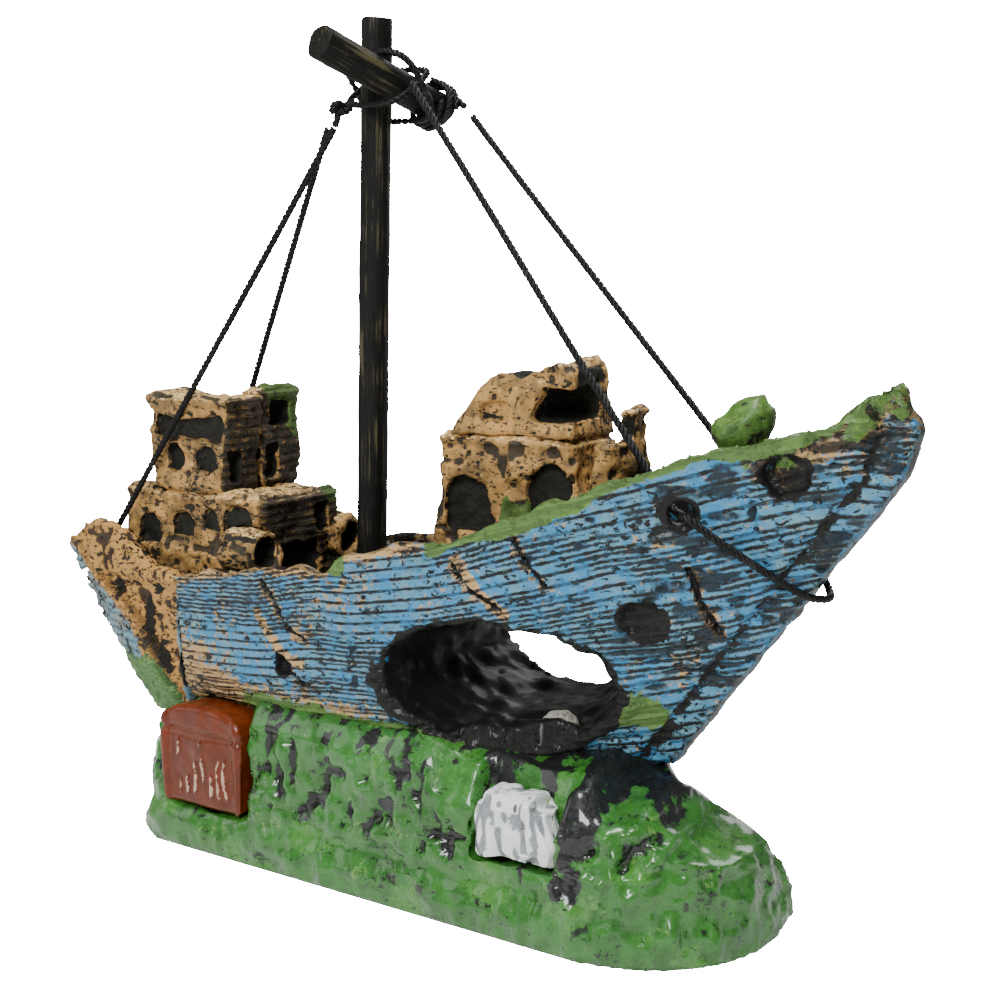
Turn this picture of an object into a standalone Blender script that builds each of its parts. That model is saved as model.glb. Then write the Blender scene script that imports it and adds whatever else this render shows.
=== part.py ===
"""Sunken-ship aquarium ornament with an air stone: cast hull on a rock base, wooden mast and yard,
cord rigging.

+X points to the bow, +Y to port and +Z up. The origin is under the middle of the ship, on the tank floor.
Sizes in the tables are millimetres; MM turns them into metres.
"""
import math

import bmesh
import bpy
from mathutils import Matrix, Vector

MM = 0.001
GAP = 0.3                                        # glue line or running gap between neighbours

# overall
BOW_X = 63.8
STERN_X = -63.8
HALF_WIDTH = 17.5
MAST_TOP_Z = 110.4

# rock base
BASE_AFT_X, BASE_FORE_X = -45.0, 46.8
BASE_SEAT_Z = 19.4                               # flat that carries the hull
BASE_AFT_SEAT_Z = 16.0                           # lower step that carries the stern
BASE_AFT_END, BASE_FORE_END = 9.0, 20.0          # lengths of the rounded ends
BASE_AFT_CORNER, BASE_FORE_CORNER = 0.7, 0.95    # how square they are; 1 is an ellipse
SPLIT_X = -37.0                                  # joint between stern quarter and hull

# hull: sheer line stations of x, z and half width, then the deck's height
SHEER = [(-37, 37.0, 13.8), (-31, 38.4, 14.6), (-20.5, 40.7, 15.6), (-8, 41.3, 16.1), (-4, 44.2, 16.1),
         (9, 46.3, 15.8), (18.5, 49.7, 15.2), (31, 54.7, 13.6), (41.5, 59.0, 10.8), (52.5, 61.4, 7.0),
         (58, 64.0, 4.6), (61.0, 67.0, 1.6)]
AFT_DECK_Z = 35.0
DECK = [(-37, AFT_DECK_Z), (-20, 36.5), (-4, 38.5), (10, 40.0), (30, 42.5), (40, 46.0), (52.5, 50.0)]
STEM = [(BASE_SEAT_Z + GAP, 34.2), (56.5, 62.0), (61.5, BOW_X), (67.0, 61.0)]   # height, x
BULWARK = 2.2                                    # thickness of the rail
SOLID_BOW_X = 54.0                               # no deck well forward of this
FLARE = [(0.0, 0.86), (0.25, 0.95), (0.6, 1.0), (0.78, 1.0), (0.88, 1.0), (1.0, 1.0)]   # height, width shares
INNER_SHARE = 0.5                                # narrowest the deck well gets, as a share of the half width
BOW_TOP_SHARE = 0.6                              # width of the solid bow's top
BOW_TOP_DROP = 0.3                               # how far that top is dished

# stern quarter stations: x, top z, half width at the rail
STERN = [(STERN_X, 38.6, 10.4), (-61.8, 40.0, 11.0), (-58.0, 43.0, 12.2), (-50.0, 43.0, 13.2),
         (-44.0, 38.5, 13.6), (-37.3, 37.0, 13.8)]
TRANSOM_FOOT_X = -48.0

# openings
CAVE_STARBOARD = (18.5, 29.4, 16.7, 8.4)         # x, z and half sizes where it breaks the starboard side
CAVE_PORT = (8.5, 29.6, 10.5, 5.4)
CAVE_REACH = 20.0                                # how far each side the passage's cutter runs
# blind holes in the side: x, z, radius and the floor's distance from the centreline
BLIND_HOLES = [(34.5, 38.6, 2.6, 8.0), (-16.0, 28.0, 1.4, 13.6), (51.0, 56.5, 2.6, 5.4)]
CORD_HOLE_R = 1.3

# deckhouses: low and high corners
CASTLE_LOW, CASTLE_HIGH = (-53.6, -8.4, 35.3), (-25.5, 8.4, 48.0)
TOWER_LOW, TOWER_HIGH = (-47.2, -7.7, 48.3), (-33.3, -0.4, 61.4)
TURRET_LOW, TURRET_HIGH = (-37.6, 0.0, 48.3), (-33.3, 7.8, 62.0)
HOUSE_LOW, HOUSE_HIGH = (0.6, -5.4, 42.0), (24.5, 5.4, 58.6)
ANNEX_LOW, ANNEX_HIGH = (24.9, -4.6, 44.0), (27.4, 5.2, 58.0)
CABIN_SIDE = [(4.6, 58.9), (22.6, 58.9), (22.4, 62.5), (21.6, 66.6), (20.0, 67.8), (13.5, 65.6),
              (11.4, 66.2), (8.4, 65.2), (6.8, 62.4)]          # x, z outline
CABIN_HALF_WIDTH = 4.6
# x, sill z, width and height of each arched window
CASTLE_WINDOWS = [(-47.6, 39.6, 4.4, 5.0), (-41.4, 41.3, 3.6, 3.8), (-35.6, 42.6, 2.8, 3.2),
                  (-30.2, 42.0, 5.6, 4.8)]
HOUSE_WINDOWS = [(6.6, 46.2, 6.8, 7.2), (19.4, 48.0, 6.8, 7.4)]
TOWER_WINDOWS_X = (-42.2, -36.6)
WINDOW_DEPTH = 1.4
PROUD = 3.0                                      # how far a cutter stands out of the face it cuts

# deck and rock fittings
BARREL = (-24.2, -31.0, 8.4, 40.7, 3.2)          # fore x, aft x, y, z, radius
BOLLARD = (42.6, -1.0, 46.0, 65.4, 3.5)          # x, y, foot z, top z, radius
CHEST_LOW, CHEST_HIGH = (-37.0, -17.5, 6.6), (-21.8, -12.0, 20.6)
CHEST_LID_RISE = 2.4
BOULDER_LOW, BOULDER_HIGH = (15.8, -17.5, 9.8), (27.4, -12.5, 20.2)

# mast, yard and cord
MAST_R, MAST_FOOT_Z, MAST_FOOT_X = 2.05, 34.0, -13.5
MAST_RAKE = math.radians(2.24)                   # leans towards the bow
YARD_R, YARD_Z = 2.15, 101.7
YARD_STARBOARD, YARD_PORT = 13.9, 8.2            # reach each side of the mast
YARD_DIRECTION = Vector((0.134, 0.937, -0.324)).normalized()
CORD_R = 0.5
LASHING_STEPS, LASHING_SQUARENESS = 36, 0.55     # 1 is an oval loop, 0 a rectangle
LASHING_SLACK = 0.7
WRAP_TURNS, WRAP_PITCH, WRAP_START = 2, 1.25, 4.9
KNOT, KNOT_R = (-11.7, -6.2, 98.8), 1.25
CORD_SPACING = 2.6                               # between a cord's points

# cord routes: down the starboard leg, round the hull outside, and back up to port; (x, y, z)
BOW_LEG = [(-1.6, -4.4, 101.4), (11.6, -5.5, 84.7), (24.6, -6.6, 68.0), (35.6, -7.3, 54.2), (38.0, -7.9, 51.9)]
BOW_TURN = [(41.2, -10.6, 51.6), (44.0, -9.5, 49.4), (46.8, -7.4, 47.0), (49.6, -5.0, 44.6), (52.0, -2.7, 42.7)]
BOW_MIDDLE = (53.2, 0.0, 42.2)
BOW_PORT_LEG = [(41.2, 10.6, 51.6), (40.0, 7.8, 52.2), (36.6, 7.6, 56.6), (23.0, 7.4, 71.6), (9.4, 7.2, 86.6),
                (-0.8, 7.1, 98.0)]
STERN_LEG = [(-12.8, -6.2, 96.3), (-26.6, -7.4, 77.6), (-40.5, -8.7, 58.9), (-54.2, -9.9, 40.4)]
STERN_TURN = [(-56.6, -9.8, 37.8), (-59.4, -9.6, 34.8), (-61.0, -8.6, 33.2), (-61.6, -5.0, 32.8)]
STERN_MIDDLE = (-61.7, 0.0, 32.7)
STERN_PORT_LEG = [(-54.2, 10.4, 40.4), (-41.3, 5.4, 59.1), (-28.3, 0.4, 77.8), (-15.3, -4.6, 96.5)]

# air line
AIR_X, AIR_Y, AIR_Z = 19.3, -3.0, 8.0
TUBE_R, TUBE_WALL = 2.0, 0.5
CHANNEL_R = TUBE_R + GAP
TUBE_BEND_R = 4.0
AIR_TUBE_START_X = -39.8
CAVE_FLOOR_Z = CAVE_STARBOARD[1] - CAVE_STARBOARD[3]
STONE_R, STONE_SEAT_R = 2.6, 3.0

PAINT = {
    "hull_paint": ((0.16, 0.36, 0.52), 0.55),
    "stern_paint": ((0.30, 0.38, 0.40), 0.6),
    "castle_paint": ((0.48, 0.30, 0.12), 0.7),
    "moss_paint": ((0.12, 0.27, 0.07), 0.35),
    "chest_paint": ((0.30, 0.09, 0.04), 0.3),
    "stone_paint": ((0.70, 0.71, 0.74), 0.4),
    "stained_wood": ((0.03, 0.03, 0.028), 0.6),
    "waxed_cord": ((0.02, 0.02, 0.02), 0.5),
    "air_stone": ((0.62, 0.60, 0.55), 0.9),
    "air_tube": ((0.55, 0.58, 0.58), 0.3),
}


def new_collection(name):
    collection = bpy.data.collections.new(name)
    bpy.context.scene.collection.children.link(collection)
    return collection


def clear_scene():
    for old in list(bpy.data.objects):
        bpy.data.objects.remove(old, do_unlink=True)


clear_scene()
PARTS = new_collection("shipwreck_ornament")
CUTTERS = new_collection("cutters")


def paint(slot):
    """The material of a finish, made the first time it is asked for."""
    material = bpy.data.materials.get(slot)
    if material is None:
        material = bpy.data.materials.new(slot)
        material.use_nodes = True
        shader = material.node_tree.nodes["Principled BSDF"]
        colour, roughness = PAINT[slot]
        shader.inputs["Base Color"].default_value = (*colour, 1.0)
        shader.inputs["Roughness"].default_value = roughness
    return material


def outward(bm):
    """Points a closed mesh's faces outwards."""
    bm.normal_update()
    bmesh.ops.recalc_face_normals(bm, faces=bm.faces[:])
    if bm.calc_volume(signed=True) < 0:
        bmesh.ops.reverse_faces(bm, faces=bm.faces[:])


def add_part(name, bm, slot, smooth=False):
    mesh = bpy.data.meshes.new(name)
    bm.to_mesh(mesh)
    bm.free()
    part = bpy.data.objects.new(name, mesh)
    PARTS.objects.link(part)
    mesh.materials.append(paint(slot))
    if smooth:
        mesh.shade_smooth()
        mesh.set_sharp_from_angle(angle=math.radians(40))
    return part


def add_cutter(name, bm):
    mesh = bpy.data.meshes.new(name)
    bm.to_mesh(mesh)
    bm.free()
    cutter = bpy.data.objects.new(name, mesh)
    CUTTERS.objects.link(cutter)
    cutter.hide_render = True
    cutter.display_type = "WIRE"
    return cutter


def cut(part, *cutters):
    for cutter in cutters:
        modifier = part.modifiers.new("cut_" + cutter.name, "BOOLEAN")
        modifier.operation = "DIFFERENCE"
        modifier.object = cutter


def block(low, high, top_scale=(1.0, 1.0)):
    """A box between two corners, its top drawn in or out about its own centre."""
    bm = bmesh.new()
    bmesh.ops.create_cube(bm, size=1.0)
    for vert in bm.verts:
        spread = top_scale if vert.co.z > 0 else (1.0, 1.0)
        corner = [vert.co.x * spread[0], vert.co.y * spread[1], vert.co.z]
        vert.co = Vector(((lo + hi) / 2 + c * (hi - lo)) * MM for c, lo, hi in zip(corner, low, high))
    return bm


def rod(start, end, radius, segments=16, end_radius=None):
    """A cylinder or cone frustum between two points."""
    start, end = Vector(start) * MM, Vector(end) * MM
    bm = bmesh.new()
    turn = (end - start).to_track_quat("Z", "Y").to_matrix().to_4x4()
    place = Matrix.Translation((start + end) / 2) @ turn
    bmesh.ops.create_cone(bm, cap_ends=True, segments=segments, radius1=radius * MM,
                          radius2=(end_radius or radius) * MM, depth=(end - start).length, matrix=place)
    return bm


def soften(bm, width, segments=1):
    bmesh.ops.bevel(bm, geom=bm.edges[:], offset=width * MM, segments=segments, profile=0.5, affect="EDGES")
    return bm


def prism(outline, y_low, y_high):
    """A side outline of x, z points carried across the ship."""
    bm = bmesh.new()
    face = bm.faces.new([bm.verts.new((x * MM, y_low * MM, z * MM)) for x, z in outline])
    sweep = bmesh.ops.extrude_face_region(bm, geom=[face])
    moved = [item for item in sweep["geom"] if isinstance(item, bmesh.types.BMVert)]
    bmesh.ops.translate(bm, verts=moved, vec=(0, (y_high - y_low) * MM, 0))
    outward(bm)
    return bm


def arch(x, z, width, height, y_side, depth):
    """Cutter for an arched window sunk into a side wall at y_side."""
    radius = width / 2
    spring = z + height - radius                 # where the arch starts
    steps = 8
    outline = [(x - radius, z), (x + radius, z)]
    for i in range(steps + 1):
        angle = math.pi * i / steps
        outline.append((x + radius * math.cos(angle), spring + radius * math.sin(angle)))
    inner = y_side - math.copysign(depth, y_side)
    outer = y_side + math.copysign(PROUD, y_side)
    return prism(outline, min(inner, outer), max(inner, outer))


def tube(name, points, radius, slot, resolution=2, caps=True, cyclic=False):
    curve = bpy.data.curves.new(name, "CURVE")
    curve.dimensions = "3D"
    curve.bevel_depth = radius * MM
    curve.bevel_resolution = resolution
    curve.use_fill_caps = caps
    spline = curve.splines.new("POLY")
    spline.points.add(len(points) - 1)
    for spot, point in zip(spline.points, points):
        spot.co = (*(Vector(point) * MM), 1.0)
    spline.use_cyclic_u = cyclic
    made = bpy.data.objects.new(name, curve)
    PARTS.objects.link(made)
    curve.materials.append(paint(slot))
    return made


def as_mesh(made, collection):
    """Turns a tube into a mesh with its caps welded, so that it can be cut or used as a cutter."""
    bpy.context.view_layer.update()
    mesh = bpy.data.meshes.new_from_object(made.evaluated_get(bpy.context.evaluated_depsgraph_get()))
    bm = bmesh.new()
    bm.from_mesh(mesh)
    bmesh.ops.remove_doubles(bm, verts=bm.verts[:], dist=1e-6)
    bm.to_mesh(mesh)
    bm.free()
    name, place = made.name, made.matrix_world.copy()
    bpy.data.objects.remove(made, do_unlink=True)
    solid = bpy.data.objects.new(name, mesh)
    solid.matrix_world = place
    collection.objects.link(solid)
    return solid


def smooth_route(points, spacing):
    """Points along a smooth curve through the route's own points."""
    route = [Vector(p) for p in points]
    padded = [2 * route[0] - route[1]] + route + [2 * route[-1] - route[-2]]
    out = []
    for i in range(1, len(padded) - 2):
        a, b, c, d = padded[i - 1:i + 3]
        steps = max(1, round((c - b).length / spacing))
        for k in range(steps):
            t = k / steps
            out.append(0.5 * (2 * b + (c - a) * t + (2 * a - 5 * b + 4 * c - d) * t * t
                              + (3 * b - a - 3 * c + d) * t ** 3))
    return out + [route[-1]]


def table(rows, x, column=1):
    """Straight-line reading of a table whose first column rises."""
    if x <= rows[0][0]:
        return rows[0][column]
    for low, high in zip(rows, rows[1:]):
        if x <= high[0]:
            share = (x - low[0]) / (high[0] - low[0])
            return low[column] + share * (high[column] - low[column])
    return rows[-1][column]


def stem_x(z):
    """The stem's profile: raked up to the knee, then upright and drawn back at the tip."""
    return table(STEM, z)


def loft_half(rings, close_last):
    """Skin over half sections that start and end on the centreline; the mirror makes the other side."""
    bm = bmesh.new()
    rows = [[bm.verts.new(Vector(p) * MM) for p in ring] for ring in rings]
    for low, high in zip(rows, rows[1:]):
        for i in range(len(low) - 1):
            bm.faces.new((low[i], low[i + 1], high[i + 1], high[i]))
    bm.faces.new(rows[0])
    if close_last:
        bm.faces.new(rows[-1])
    bmesh.ops.remove_doubles(bm, verts=bm.verts[:], dist=1e-6)
    bmesh.ops.dissolve_degenerate(bm, edges=bm.edges[:], dist=1e-6)
    return bm


def mirrored(part):
    """Completes a half and points its faces outwards before any cut."""
    bm = bmesh.new()
    bm.from_mesh(part.data)
    bmesh.ops.recalc_face_normals(bm, faces=bm.faces[:])
    bm.to_mesh(part.data)
    bm.free()
    modifier = part.modifiers.new("other_side", "MIRROR")
    modifier.use_axis = (False, True, False)
    modifier.merge_threshold = 0.00005
    return part


def half_section(spot, z_low, z_top, z_deck, half, inner):
    """Starboard half section from keel to deck centre; spot(z) gives x at a height."""
    ring = [(spot(z_low), 0.0, z_low)]
    for share, width in FLARE:
        z = z_low + share * (z_top - z_low)
        ring.append((spot(z), -half * width, z))
    ring.append((spot(z_top), -inner, z_top))
    ring.append((spot(z_deck), -inner, z_deck))
    ring.append((spot(z_deck), 0.0, z_deck))
    return ring


def rock_outline(steps=56):
    """The base's plan: straight flanks, a blunt after end and a long rounded fore end."""
    outline = []
    for i in range(steps):
        angle = 2 * math.pi * (i + 0.5) / steps
        c, s = math.cos(angle), math.sin(angle)
        end, reach, corner = BASE_AFT_X, BASE_AFT_END, BASE_AFT_CORNER
        if c > 0:
            end, reach, corner = BASE_FORE_X, -BASE_FORE_END, BASE_FORE_CORNER
        outline.append((end + reach * (1 - abs(c) ** corner), HALF_WIDTH * math.copysign(abs(s) ** corner, s)))
    return outline


def base_rock():
    """Oval rock with a flat seat, stepped at the stern and falling away under the bow."""
    middle = (BASE_AFT_X + BASE_FORE_X) / 2
    outline = rock_outline()
    bm = bmesh.new()
    rows = []
    for z, share in ((0.0, 1.0), (3.0, 1.0), (BASE_SEAT_Z, 0.95)):       # height, share of the plan
        rows.append([bm.verts.new(((middle + (x - middle) * share) * MM, y * share * MM, z * MM))
                     for x, y in outline])
    for low, high in zip(rows, rows[1:]):
        for i in range(len(outline)):
            j = (i + 1) % len(outline)
            bm.faces.new((low[i], low[j], high[j], high[i]))
    bm.faces.new(rows[0])
    bm.faces.new(rows[-1])
    outward(bm)
    rock = add_part("base_rock", bm, "moss_paint")
    fall = [(36.5, 30), (36.5, BASE_SEAT_Z), (39.6, 14.5), (44.6, 11.5), (46.2, 8.5), (60, 6), (60, 30)]
    step = block((-60, -30, BASE_AFT_SEAT_Z), (SPLIT_X + GAP, 30, 40))
    cut(rock, add_cutter("fore_slope", prism(fall, -30, 30)), add_cutter("stern_step", step))
    return rock


def hull():
    """Planked side, rail, deck well and raked stem, in skewed stations that follow the stem's rake."""
    rings = []
    z_low = BASE_SEAT_Z + GAP
    for x, z_top, half in SHEER:
        share = (x - SPLIT_X) / (stem_x(z_top) - SPLIT_X)
        solid = x > SOLID_BOW_X
        z_deck = z_top - BOW_TOP_DROP if solid else table(DECK, x)
        inner = half * BOW_TOP_SHARE if solid else max(half - BULWARK, half * INNER_SHARE)
        rings.append(half_section(lambda z, s=share: SPLIT_X + s * (stem_x(z) - SPLIT_X),
                                  z_low, z_top, z_deck, half, inner))
    rings.append([(x, 0.0, z) for x, y, z in rings[-1]])     # closes the stem on the centreline
    return mirrored(add_part("hull", loft_half(rings, False), "hull_paint"))


def stern_quarter():
    """Raked transom, tub-shaped after deck and the broken quarter that joins the hull."""
    rings = []
    z_low = BASE_AFT_SEAT_Z + GAP
    for x, z_top, half in STERN:
        share = (x - STERN_X) / (STERN[-1][0] - STERN_X)
        foot = TRANSOM_FOOT_X + share * (STERN[-1][0] - TRANSOM_FOOT_X)
        z_deck = z_top if x == STERN_X else AFT_DECK_Z

        def spot(z, x=x, foot=foot, z_top=z_top):
            return foot + (x - foot) * (z - z_low) / (z_top - z_low)

        rings.append(half_section(spot, z_low, z_top, z_deck, half, half - BULWARK))
    return mirrored(add_part("stern_quarter", loft_half(rings, True), "stern_paint"))


def window_cutters(prefix, windows, y_side, depth):
    cutters = []
    for side in (-1, 1):
        for i, (x, z, width, height) in enumerate(windows):
            name = f"{prefix}_window_{'port' if side > 0 else 'starboard'}_{i}"
            cutters.append(add_cutter(name, arch(x, z, width, height, side * y_side, depth)))
    return cutters


def clearance(name, low, high):
    """Cutter that leaves a glue gap round a block let into its neighbour."""
    return add_cutter(name, block([v - GAP for v in low], [v + GAP for v in high]))


def barrel_body(side, extra):
    x_fore, x_aft, y, z, radius = BARREL
    return rod((x_aft - extra, side * y, z), (x_fore + extra, side * y, z), radius + extra, 20)


def stern_castle():
    """Lower after deckhouse: arched windows each side, a doorway and a slot in its fore wall."""
    bm = soften(block(CASTLE_LOW, CASTLE_HIGH, (0.98, 0.92)), 0.8)
    part = add_part("stern_castle", bm, "castle_paint")
    fore = CASTLE_HIGH[0]
    door = block((fore - 2.5, -4.6, CASTLE_LOW[2] + 0.7), (fore + PROUD, 3.4, 41.2))
    slot = block((fore - 1.5, 2.6, 42.0), (fore + PROUD, 5.2, 46.0))
    cut(part, *window_cutters("castle", CASTLE_WINDOWS, CASTLE_HIGH[1], WINDOW_DEPTH),
        add_cutter("castle_door", door), add_cutter("castle_slot", slot))
    for side, name in ((-1, "starboard"), (1, "port")):
        cut(part, add_cutter("barrel_seat_" + name, barrel_body(side, GAP)))
    return part


def stern_tower():
    """Starboard half of the after tower, with a flared top and windows in its side."""
    x_low, y_low, z_low = TOWER_LOW
    fore = TOWER_HIGH[0]
    part = add_part("stern_tower", soften(block(TOWER_LOW, TOWER_HIGH, (1.1, 1.0)), 0.6), "castle_paint")
    for i, x in enumerate(TOWER_WINDOWS_X):
        cut(part, add_cutter(f"tower_window_{i}", arch(x, z_low + 2.3, 2.8, 4.0, y_low, WINDOW_DEPTH)))
    band = block((x_low + 1.4, y_low - PROUD, z_low + 7), (fore - 1.3, y_low + 1, z_low + 10.2))
    door = block((fore - 2, -6.2, z_low + 1), (fore + PROUD, -3.8, z_low + 5.6))
    cut(part, add_cutter("tower_band", band), add_cutter("tower_door", door))
    return part


def stern_turret():
    """Port half of the tower: a thin front with a doorway and a lookout hole."""
    z_low, fore = TURRET_LOW[2], TURRET_HIGH[0]
    bm = soften(block(TURRET_LOW, TURRET_HIGH, (1.0, 0.98)), 0.6)
    part = add_part("stern_turret", bm, "castle_paint")
    door = block((fore - 2, 0.8, z_low + 1), (fore + PROUD, 3.2, z_low + 5.8))
    lookout = block((fore - 2.6, 2.6, z_low + 8.4), (fore + PROUD, 6.4, z_low + 12))
    cut(part, add_cutter("turret_door", door), add_cutter("turret_lookout", lookout))
    return part


def barrel(side, name):
    """Deck barrel with a hollow fore end, let into the castle's corner."""
    x_fore, _, y, z, radius = BARREL
    part = add_part(name, barrel_body(side, 0.0), "castle_paint", smooth=True)
    hollow = rod((x_fore - 2.0, side * y, z), (x_fore + 2.0, side * y, z), radius - 1.0, 16)
    cut(part, add_cutter(name + "_hollow", hollow))
    return part


def fore_deckhouse():
    """Fore deckhouse with two large arched windows each side."""
    bm = soften(block(HOUSE_LOW, HOUSE_HIGH, (0.86, 0.95)), 0.8)
    part = add_part("fore_deckhouse", bm, "castle_paint")
    cut(part, *window_cutters("house", HOUSE_WINDOWS, HOUSE_HIGH[1] - GAP, WINDOW_DEPTH))
    return part


def fore_cabin():
    """Wedge roof with a broken hollow under its fore edge."""
    part = add_part("fore_cabin", prism(CABIN_SIDE, -CABIN_HALF_WIDTH, CABIN_HALF_WIDTH), "castle_paint")
    hollow = block((16.0, -7.0, 60.6), (30.0, 2.2, 64.6), (0.8, 0.9))
    dent = block((8.5, -8.0, 60.2), (12.5, -3.8, 62.6))
    cut(part, add_cutter("cabin_hollow", hollow), add_cutter("cabin_dent", dent))
    return part


def fore_annex():
    """Thin wall in front of the deckhouse with a broken post on its port side."""
    bm = block(ANNEX_LOW, ANNEX_HIGH, (0.9, 1.0))
    part = add_part("fore_annex", bm, "castle_paint")
    post = block((ANNEX_LOW[0] + 0.2, 1.6, 55.0), (ANNEX_HIGH[0] - 0.2, 5.0, 62.0), (0.8, 0.9))
    union = part.modifiers.new("post", "BOOLEAN")
    union.operation = "UNION"
    union.object = add_cutter("annex_post", post)
    return part


def bow_bollard():
    """Rounded mooring post, turned."""
    x, y, foot, top, radius = BOLLARD
    waist = radius * 0.86
    profile = [(0.0, top), (radius * 0.55, top - 0.5), (radius * 0.95, top - 2.4), (radius, top - 4.6),
               (radius * 0.78, top - 7.0), (waist, foot + 2.0), (waist, foot), (0.0, foot)]
    return turned("bow_bollard", profile, (x, y, 0), "moss_paint", 20)


def turned(name, profile, place, slot, steps, along=None):
    """A profile of radius and height, turned with the Screw modifier about its object's own Z."""
    mesh = bpy.data.meshes.new(name)
    bm = bmesh.new()
    verts = [bm.verts.new((r * MM, 0, h * MM)) for r, h in profile]
    for low, high in zip(verts, verts[1:]):
        bm.edges.new((low, high))
    if profile[0][0] > 0:
        bm.edges.new((verts[-1], verts[0]))
    bm.to_mesh(mesh)
    bm.free()
    part = bpy.data.objects.new(name, mesh)
    PARTS.objects.link(part)
    part.location = Vector(place) * MM
    if along:
        part.rotation_mode = "QUATERNION"
        part.rotation_quaternion = Vector(along).to_track_quat("Z", "Y")
    mesh.materials.append(paint(slot))
    screw = part.modifiers.new("turn", "SCREW")
    screw.steps = steps
    screw.render_steps = steps
    screw.use_merge_vertices = True
    screw.merge_threshold = 0.00001
    screw.use_normal_calculate = False
    return part


def chest():
    """Treasure chest let into the base, its lid curved across."""
    low, high = CHEST_LOW, CHEST_HIGH
    middle, half = (low[0] + high[0]) / 2, (high[0] - low[0]) / 2
    hinge_z = high[2] - CHEST_LID_RISE
    outline = [(low[0] + 0.6, low[2]), (high[0] - 0.6, low[2]), (high[0], hinge_z)]
    steps = 6
    for i in range(1, steps):
        angle = math.pi * i / steps
        outline.append((middle + half * math.cos(angle), hinge_z + CHEST_LID_RISE * math.sin(angle)))
    outline.append((low[0], hinge_z))
    return add_part("treasure_chest", soften(prism(outline, low[1], high[1]), 0.5), "chest_paint")


def boulder():
    bm = soften(block(BOULDER_LOW, BOULDER_HIGH, (0.92, 1.0)), 1.4, 2)
    return add_part("pale_boulder", bm, "stone_paint")


def mast_axis():
    return Vector((math.sin(MAST_RAKE), 0.0, math.cos(MAST_RAKE)))


def mast():
    """Dowel let into the deck and raked towards the bow."""
    foot = Vector((MAST_FOOT_X, 0, MAST_FOOT_Z))
    top = foot + mast_axis() * ((MAST_TOP_Z - MAST_FOOT_Z) / mast_axis().z)
    bm = rod(foot, top, MAST_R, 20)
    return add_part("mast", bm, "stained_wood", smooth=True)


def yard_frame():
    """Crossing point on the mast's axis, the yard's direction and the way from mast to yard."""
    crossing = Vector((MAST_FOOT_X, 0, MAST_FOOT_Z)) + mast_axis() * ((YARD_Z - MAST_FOOT_Z) / mast_axis().z)
    forward = YARD_DIRECTION.cross(mast_axis()).normalized()
    return crossing, YARD_DIRECTION, forward


def yard():
    """Shorter dowel crossing in front of the mast, its starboard arm cocked up."""
    crossing, direction, forward = yard_frame()
    middle = crossing + forward * (MAST_R + GAP + YARD_R)
    bm = rod(middle - direction * YARD_STARBOARD, middle + direction * YARD_PORT, YARD_R, 20)
    return add_part("yard", bm, "stained_wood", smooth=True)


def lashing(name, lean, extra):
    """One closed turn of cord, slanted across the yard and round behind the mast."""
    crossing, direction, forward = yard_frame()
    across = (mast_axis() + direction * lean).normalized()
    aft = MAST_R + GAP + CORD_R + extra
    fore = MAST_R + GAP + 2 * YARD_R + GAP + CORD_R + extra
    slant = across.angle(mast_axis())
    reach = MAST_R / math.sin(slant) + GAP + CORD_R + LASHING_SLACK
    points = []
    for i in range(LASHING_STEPS):
        angle = 2 * math.pi * i / LASHING_STEPS
        c, s = math.cos(angle), math.sin(angle)
        off = (fore - aft) / 2 + (fore + aft) / 2 * math.copysign(abs(c) ** LASHING_SQUARENESS, c)
        rise = reach * math.copysign(abs(s) ** LASHING_SQUARENESS, s)
        points.append(crossing + forward * off + across * rise)
    return tube(name, points, CORD_R, "waxed_cord", cyclic=True)


def yard_wrap():
    """Two turns of cord round the yard's port arm."""
    crossing, direction, forward = yard_frame()
    middle = crossing + forward * (MAST_R + GAP + YARD_R)
    side = direction.cross(forward).normalized()
    ring = YARD_R + GAP + CORD_R
    per_turn = 18
    points = []
    for i in range(WRAP_TURNS * per_turn + 1):
        angle = 2 * math.pi * i / per_turn
        along = WRAP_START + WRAP_PITCH * i / per_turn
        around = forward * math.cos(angle) + side * math.sin(angle)
        points.append(middle + direction * along + around * ring)
    return tube("yard_wrap", points, CORD_R, "waxed_cord")


def across(points):
    """The same points on the port side, in the other order."""
    return [(x, -y, z) for x, y, z in reversed(points)]


def bow_stay():
    """One cord: starboard leg, out through the side, under the bow and back up to port."""
    route = BOW_LEG + BOW_TURN + [BOW_MIDDLE] + across(BOW_TURN)[:-1] + BOW_PORT_LEG
    return tube("bow_stay", smooth_route(route, CORD_SPACING), CORD_R, "waxed_cord")


def stern_stay():
    """One cord: starboard leg, round the outside of the transom and back up to port."""
    route = STERN_LEG + STERN_TURN + [STERN_MIDDLE] + across(STERN_TURN) + STERN_PORT_LEG
    return tube("stern_stay", smooth_route(route, CORD_SPACING), CORD_R, "waxed_cord")


def stay_knot():
    bm = bmesh.new()
    place = Matrix.Translation(Vector(KNOT) * MM)
    bmesh.ops.create_icosphere(bm, subdivisions=2, radius=KNOT_R * MM, matrix=place)
    return add_part("stay_knot", bm, "waxed_cord", smooth=True)


def air_route(start_x, top_z):
    """Centreline of the tube: level through the base, then up into the cave."""
    bend = TUBE_BEND_R
    route = [(start_x + (AIR_X - bend - start_x) * i / 8, AIR_Y, AIR_Z) for i in range(9)]
    for i in range(1, 6):
        angle = math.radians(18 * i)
        route.append((AIR_X - bend + bend * math.sin(angle), AIR_Y, AIR_Z + bend - bend * math.cos(angle)))
    return route + [(AIR_X, AIR_Y, top_z)]


def air_tube():
    """Rigid tube through the base: open skin, then a wall."""
    route = air_route(AIR_TUBE_START_X, CAVE_FLOOR_Z - 0.2)
    skin = as_mesh(tube("air_tube", route, TUBE_R, "air_tube", caps=False), PARTS)
    wall = skin.modifiers.new("wall", "SOLIDIFY")
    wall.thickness = TUBE_WALL * MM
    wall.offset = -1.0
    return skin


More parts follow.
